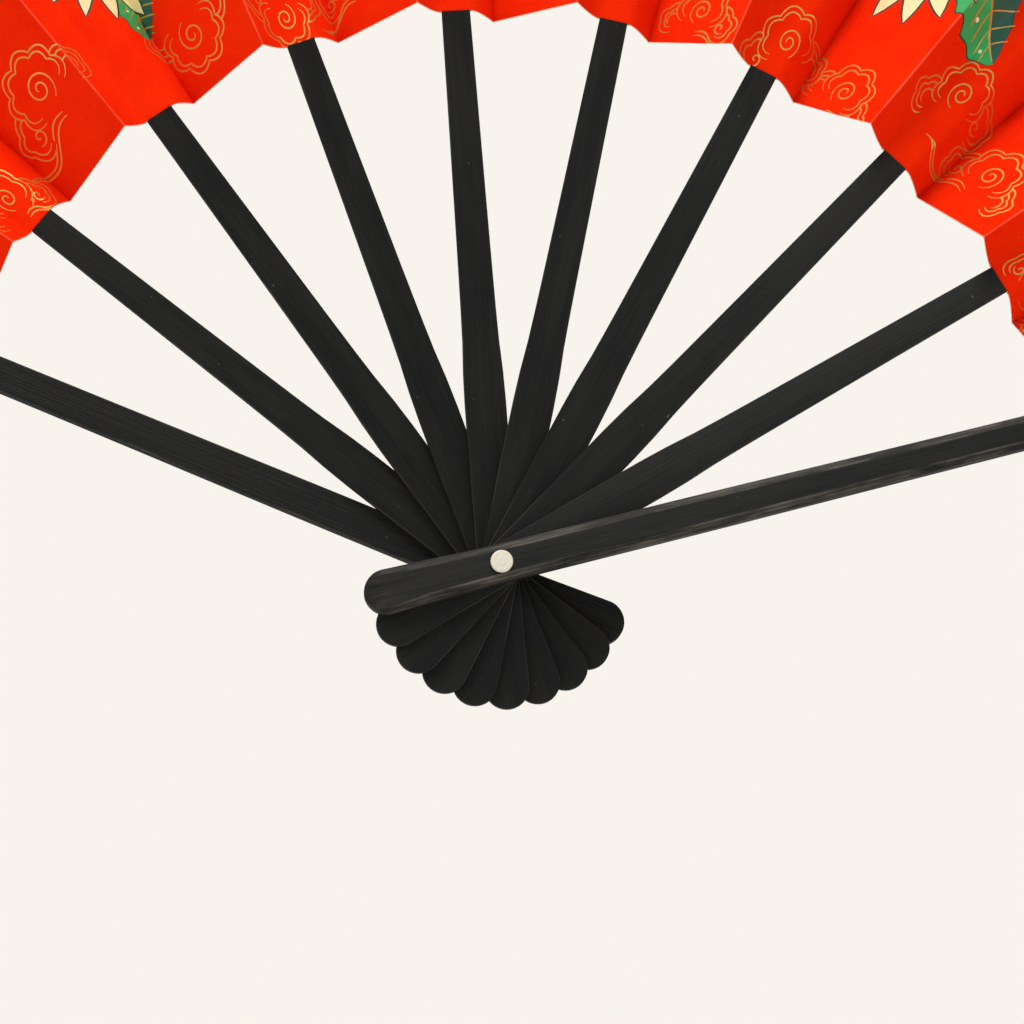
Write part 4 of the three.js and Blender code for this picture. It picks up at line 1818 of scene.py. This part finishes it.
@dataclass
class Leaf:
    """The pleated paper leaf: a printed front ply and a plain back ply, panel by panel."""

    plan: FanPlan
    finishes: Finishes
    ridge: float = 0.22 * MM  # how far a ply stands up over a tongue
    inner_offset: float = 0.01 * MM  # from the leaf's middle to a ply's inner face
    row_spacing: float = 5.0  # mm of leaf height between two rows of points
    sharp_over_deg: float = 50
    tree: bpy.types.NodeTree = field(init=False)
    layout: Layout = field(init=False)
    marks: list[Mark] = field(init=False)

    UV_MAP = "sheet"
    CREST = "crest"
    FLAT_COLUMNS = (0.0, 1.3, 2.4, 3.3)  # mm from a stick's middle
    FLANK_COLUMNS = (0.2, 0.4, 0.6, 0.8, 1.0)
    FOLD_COLUMNS = 9
    LEAST_SHARE = 0.02  # between a panel's edge and the next column
    MERGE = 1e-4  # mm within which two points of the artwork become one

    def __post_init__(self) -> None:
        """Build the pleating tree and the artwork."""
        self.tree = pleat_tree(self.finishes)
        self.layout = Layout(self.plan)
        self.marks = Artwork(self.layout).compose()

    def _columns(self, panel: int, radius: float) -> list[float]:
        """Space a row's points across a panel.

        Args:
            panel: the panel's number.
            radius: the row's distance from the rivet in millimetres.

        Returns:
            The points' shares, from right to left.
        """
        low, high = self.layout.share_limits(panel, radius)
        if panel % 2:
            return list(np.linspace(low, high, self.FOLD_COLUMNS))
        fold = radius * math.sin(self.plan.fold_azimuth)
        flat = self.plan.flat_half / MM
        reach = list(self.FLAT_COLUMNS) + [flat + (fold - flat) * t for t in self.FLANK_COLUMNS]
        shares = [math.asin(min(r / radius, 1)) / self.plan.fold_azimuth for r in reach]
        both = sorted({-s for s in shares} | set(shares))
        between = [s for s in both if low + self.LEAST_SHARE < s < high - self.LEAST_SHARE]
        return [low] + between + [high]

    def _rows(self) -> Points:
        """Radii of the rows, in millimetres."""
        inner, outer = self.plan.leaf_inner / MM, self.plan.leaf_outer / MM
        return np.linspace(inner, outer, round((outer - inner) / self.row_spacing) + 1)

    def _outline_and_points(self, panel: int) -> tuple[Points, Points]:
        """Lay a panel out flat.

        Args:
            panel: the panel's number.

        Returns:
            Its outline, anticlockwise, and the points that fill it.
        """
        grid = [self.layout.to_flat(panel, self._columns(panel, r), r) for r in self._rows()]
        bottom, top = grid[0], grid[-1]
        if panel % 2:  # the edge of a fold panel is straight
            bottom, top = bottom[[0, -1]], top[[0, -1]]
        left = np.array([row[-1] for row in grid[1:-1]])
        right = np.array([row[0] for row in grid[1:-1]])
        outline = np.concatenate([bottom[::-1], right, top, left[::-1]])
        inner_points = np.concatenate([row[1:-1] for row in grid[1:-1]])
        return outline, inner_points

    def _near(self, panel: int, mark: Mark) -> bool:
        """Whether a mark may reach a panel."""
        share, _ = self.layout.from_flat(panel, mark.outline)
        return share.min() < 1.0 and share.max() > -1.0

    def _printed(self, panel: int, is_front: bool) -> tuple[Points, list, list[Paint]]:
        """Triangulate a panel along the edges of everything printed on it.

        Args:
            panel: the panel's number.
            is_front: whether it is the printed ply.

        Returns:
            The flat points, the triangles, and each triangle's paint.
        """
        outline, filling = self._outline_and_points(panel)
        marks = [m for m in self.marks if self._near(panel, m)] if is_front else []
        points = list(outline)
        faces = [list(range(len(outline)))]
        for mark in marks:
            faces.append(list(range(len(points), len(points) + len(mark.outline))))
            points.extend(mark.outline)
        points.extend(filling)
        flat, _, triangles, _, _, covers = delaunay_2d_cdt(
            [Vector(p) for p in points], [], faces, 0, self.MERGE
        )
        flat = np.array([tuple(p) for p in flat])
        inside = within(outline, flat[np.array(triangles)].mean(axis=1))
        ground = Paint.RED_FRONT if is_front else Paint.RED_BACK
        kept, paints = [], []
        for triangle, cover, keep in zip(triangles, covers, inside):
            if keep:
                kept.append(tuple(triangle))
                top = max(cover, default=0)
                paints.append(marks[top - 1].paint if top else ground)
        return flat, kept, paints

    def _slab(self, panel: int, is_front: bool, name: str) -> bpy.types.Object:
        """Make a closed flat slab of one ply, ready to be folded.

        Args:
            panel: the panel's number.
            is_front: whether it is the printed ply.
            name: the object's name.

        Returns:
            The slab, with each point's share, radius and layer and each face's paint.
        """
        flat, triangles, paints = self._printed(panel, is_front)
        used = sorted({i for t in triangles for i in t})
        renumber = {old: new for new, old in enumerate(used)}
        flat = flat[used]
        triangles = [tuple(renumber[i] for i in t) for t in triangles]
        count = len(flat)
        share, radius = self.layout.from_flat(panel, flat)
        ground = Paint.RED_FRONT if is_front else Paint.RED_BACK
        numbers = [p.value for p in paints] + [ground.value] * len(triangles)
        faces = triangles + [tuple(i + count for i in reversed(t)) for t in triangles]
        edges = dict.fromkeys((a, b) for t in triangles for a, b in zip(t, t[1:] + t[:1]))
        for a, b in edges:
            if (b, a) not in edges:
                faces.append((b, a, a + count, b + count))
                numbers.append(Paint.CUT_EDGE.value)
        if not is_front:
            faces = [face[::-1] for face in faces]
        made = mesh_object(name, np.column_stack([np.tile(flat, (2, 1)) * MM, np.zeros(2 * count)]), faces)
        store(made.data, "share", "POINT", np.tile(np.clip(share, -1, 1), 2))
        crest = -share if panel % 2 else share
        store(made.data, self.CREST, "POINT", np.tile(crest, 2))
        store(made.data, "radius", "POINT", np.tile(radius * MM, 2))
        store(made.data, "layer", "POINT", np.repeat([0.0, 1.0], count))
        store(made.data, "paint", "FACE", numbers)
        store_uv(made.data, self.UV_MAP, np.tile(flat * MM, (2, 1)))
        return made

    def _declare(self, panel: int) -> None:
        """Work out the size that a panel is cut to, without keeping it.

        Args:
            panel: its number.
        """
        low, high = self.layout.share_limits(panel, self.plan.leaf_outer / MM)
        spread = self.layout.spread(panel) * (high - low) / 2
        inner, outer = self.plan.leaf_inner, self.plan.leaf_outer
        width, length = spread * outer, outer - inner
        place = panel // 2
        spread / 2 * (outer**2 - inner**2)
        f"{self.plan.body(place)}_bamboo"

    def _panel(self, panel: int, is_front: bool) -> None:
        """Make one panel of one ply and hand it over.

        Args:
            panel: the panel's number.
            is_front: whether it is the printed ply.
        """
        place = panel // 2
        ply_name = "face" if is_front else "back"
        between = panel % 2 == 1
        node = f"leaf_{ply_name}_" + (f"fold_{place + 1}" if between else self.plan.body(place))
        has_tongue = not between and 0 < place < self.plan.last
        piece = baked(
            self._slab(panel, is_front, f"{node}_flat"),
            self.tree,
            node.replace("leaf_", "paper_"),
            Turn=self.plan.turn(panel / 2),
            Right_Depth=self.plan.middle(place),
            Left_Depth=self.plan.middle(place + 1 if between else place),
            Between_Sticks=1.0 if between else 0.0,
            Side=-1.0 if is_front else 1.0,
            Half_Angle=self.plan.fold_azimuth,
            Fold_Rise=self.plan.fold_rise,
            Flat_Half_Width=self.plan.flat_half,
            Inner_Offset=self.inner_offset,
            Ply=self.plan.ply,
            Ridge=self.ridge if has_tongue else 0.0,
        )
        softened(piece, self.sharp_over_deg)
        self._declare(panel)
        hand_over(piece, node, None if between else self.plan.body(place))
        if between:
            self.plan.body(place)
            self.plan.body(place + 1)
            tuple(self.plan.fold_point(place, -1))
            tuple(self.plan.fold_point(place + 1, 1))
            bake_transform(piece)

    def build(self) -> None:
        """Make every panel of both plies."""
        for panel in range(self.layout.panels):
            self._panel(panel, True)
            self._panel(panel, False)


# ------------------------------------------------------------------ stage


@dataclass
class Stage:
    """The pale floor, the soft studio light and the camera."""

    floor_drop: float = 0.30
    floor_half: float = 3.0
    floor_colour: Colour = (0.92, 0.90, 0.86)
    floor_rough: float = 0.8
    surround_seen: Colour = (0.938, 0.905, 0.847)
    surround_light: Colour = (0.87, 0.88, 0.90)
    surround_strength: float = 0.51
    camera_place: tuple = (-0.0268, -0.539, -0.101)
    camera_target: tuple = (0.0018, 0.0108, 0.0113)
    camera_roll_deg: float = 3.7
    lens_mm: float = 107.0
    film_mm: float = 36.0
    nearest: float = 10 * MM

    # name, place, width in metres, power in watts, colour
    LIGHTS = (
        ("key", (-0.25, -0.75, 1.35), 0.8, 18.5, (1.0, 0.985, 0.95)),
        ("left", (-1.3, -0.9, 0.5), 1.0, 4.0, (1.0, 0.99, 0.97)),
        ("right", (1.3, -0.9, 0.4), 1.0, 3.0, (0.97, 0.98, 1.0)),
        ("behind", (0.2, 1.2, 0.9), 1.2, 12.0, (1.0, 1.0, 1.0)),
    )
    LIT_POINT = (0, 0, 0.1)

    def _area_light(self, name: str, place: tuple, size: float, power: float, colour: Colour) -> None:
        """Hang a square soft light that faces the fan.

        Args:
            name: its name.
            place: where it hangs.
            size: its width in metres.
            power: its power in watts.
            colour: its colour.
        """
        data = bpy.data.lights.new(name, "AREA")
        data.shape = "SQUARE"
        data.size = size
        data.energy = power
        data.color = colour
        light = bpy.data.objects.new(name, data)
        light.location = place
        aim = Vector(self.LIT_POINT) - Vector(place)
        light.rotation_euler = aim.to_track_quat("-Z", "Y").to_euler()
        bpy.context.scene.collection.objects.link(light)

    def _world(self) -> None:
        """Set a warm white surround, which lights the fan more softly than it looks."""
        world = bpy.data.worlds.new("studio")
        world.use_nodes = True
        tree = world.node_tree
        background = tree.nodes["Background"]
        path = tree.nodes.new("ShaderNodeLightPath")
        seen = Field(tree, path.outputs["Is Camera Ray"])
        colour = mixed(tree, seen, self.surround_light, self.surround_seen)
        plug(tree, background.inputs["Color"], colour)
        strength = seen * (1 - self.surround_strength) + self.surround_strength
        plug(tree, background.inputs["Strength"], strength)
        bpy.context.scene.world = world

    def _floor(self) -> None:
        """Lay a wide pale floor below the fan."""
        half = self.floor_half
        corners = [(-half, -half), (half, -half), (half, half), (-half, half)]
        floor = mesh_object("floor", [(x, y, -self.floor_drop) for x, y in corners], [(0, 1, 2, 3)])
        material = bpy.data.materials.new("pale floor")
        material.use_nodes = True
        shader = material.node_tree.nodes["Principled BSDF"]
        shader.inputs["Base Color"].default_value = (*self.floor_colour, 1.0)
        shader.inputs["Roughness"].default_value = self.floor_rough
        floor.data.materials.append(material)

    def _camera(self) -> None:
        """Set up a long lens a little below the fan, looking up at it."""
        data = bpy.data.cameras.new("camera")
        data.lens = self.lens_mm
        data.sensor_width = self.film_mm
        data.clip_start = self.nearest
        camera = bpy.data.objects.new("camera", data)
        camera.location = self.camera_place
        aim = Vector(self.camera_target) - Vector(self.camera_place)
        camera.rotation_euler = aim.to_track_quat("-Z", "Y").to_euler()
        camera.rotation_euler.rotate_axis("Z", math.radians(self.camera_roll_deg))
        bpy.context.scene.collection.objects.link(camera)
        bpy.context.scene.camera = camera

    def build(self) -> None:
        """Set the whole stage."""
        self._world()
        self._floor()
        for light in self.LIGHTS:
            self._area_light(*light)
        self._camera()
        bpy.context.scene.view_settings.view_transform = "Standard"


# ------------------------------------------------------------------ main


def main() -> None:
    """Build the stage and the fan."""
    logging.basicConfig(level=logging.INFO, format="%(name)s: %(message)s")
    Stage().build()
    plan = FanPlan()
    finishes = Finishes()
    Sticks(plan, finishes).build()
    Rivet(finishes).build()
    Leaf(plan, finishes).build()
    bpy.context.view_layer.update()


if __name__ == "__main__":
    main()
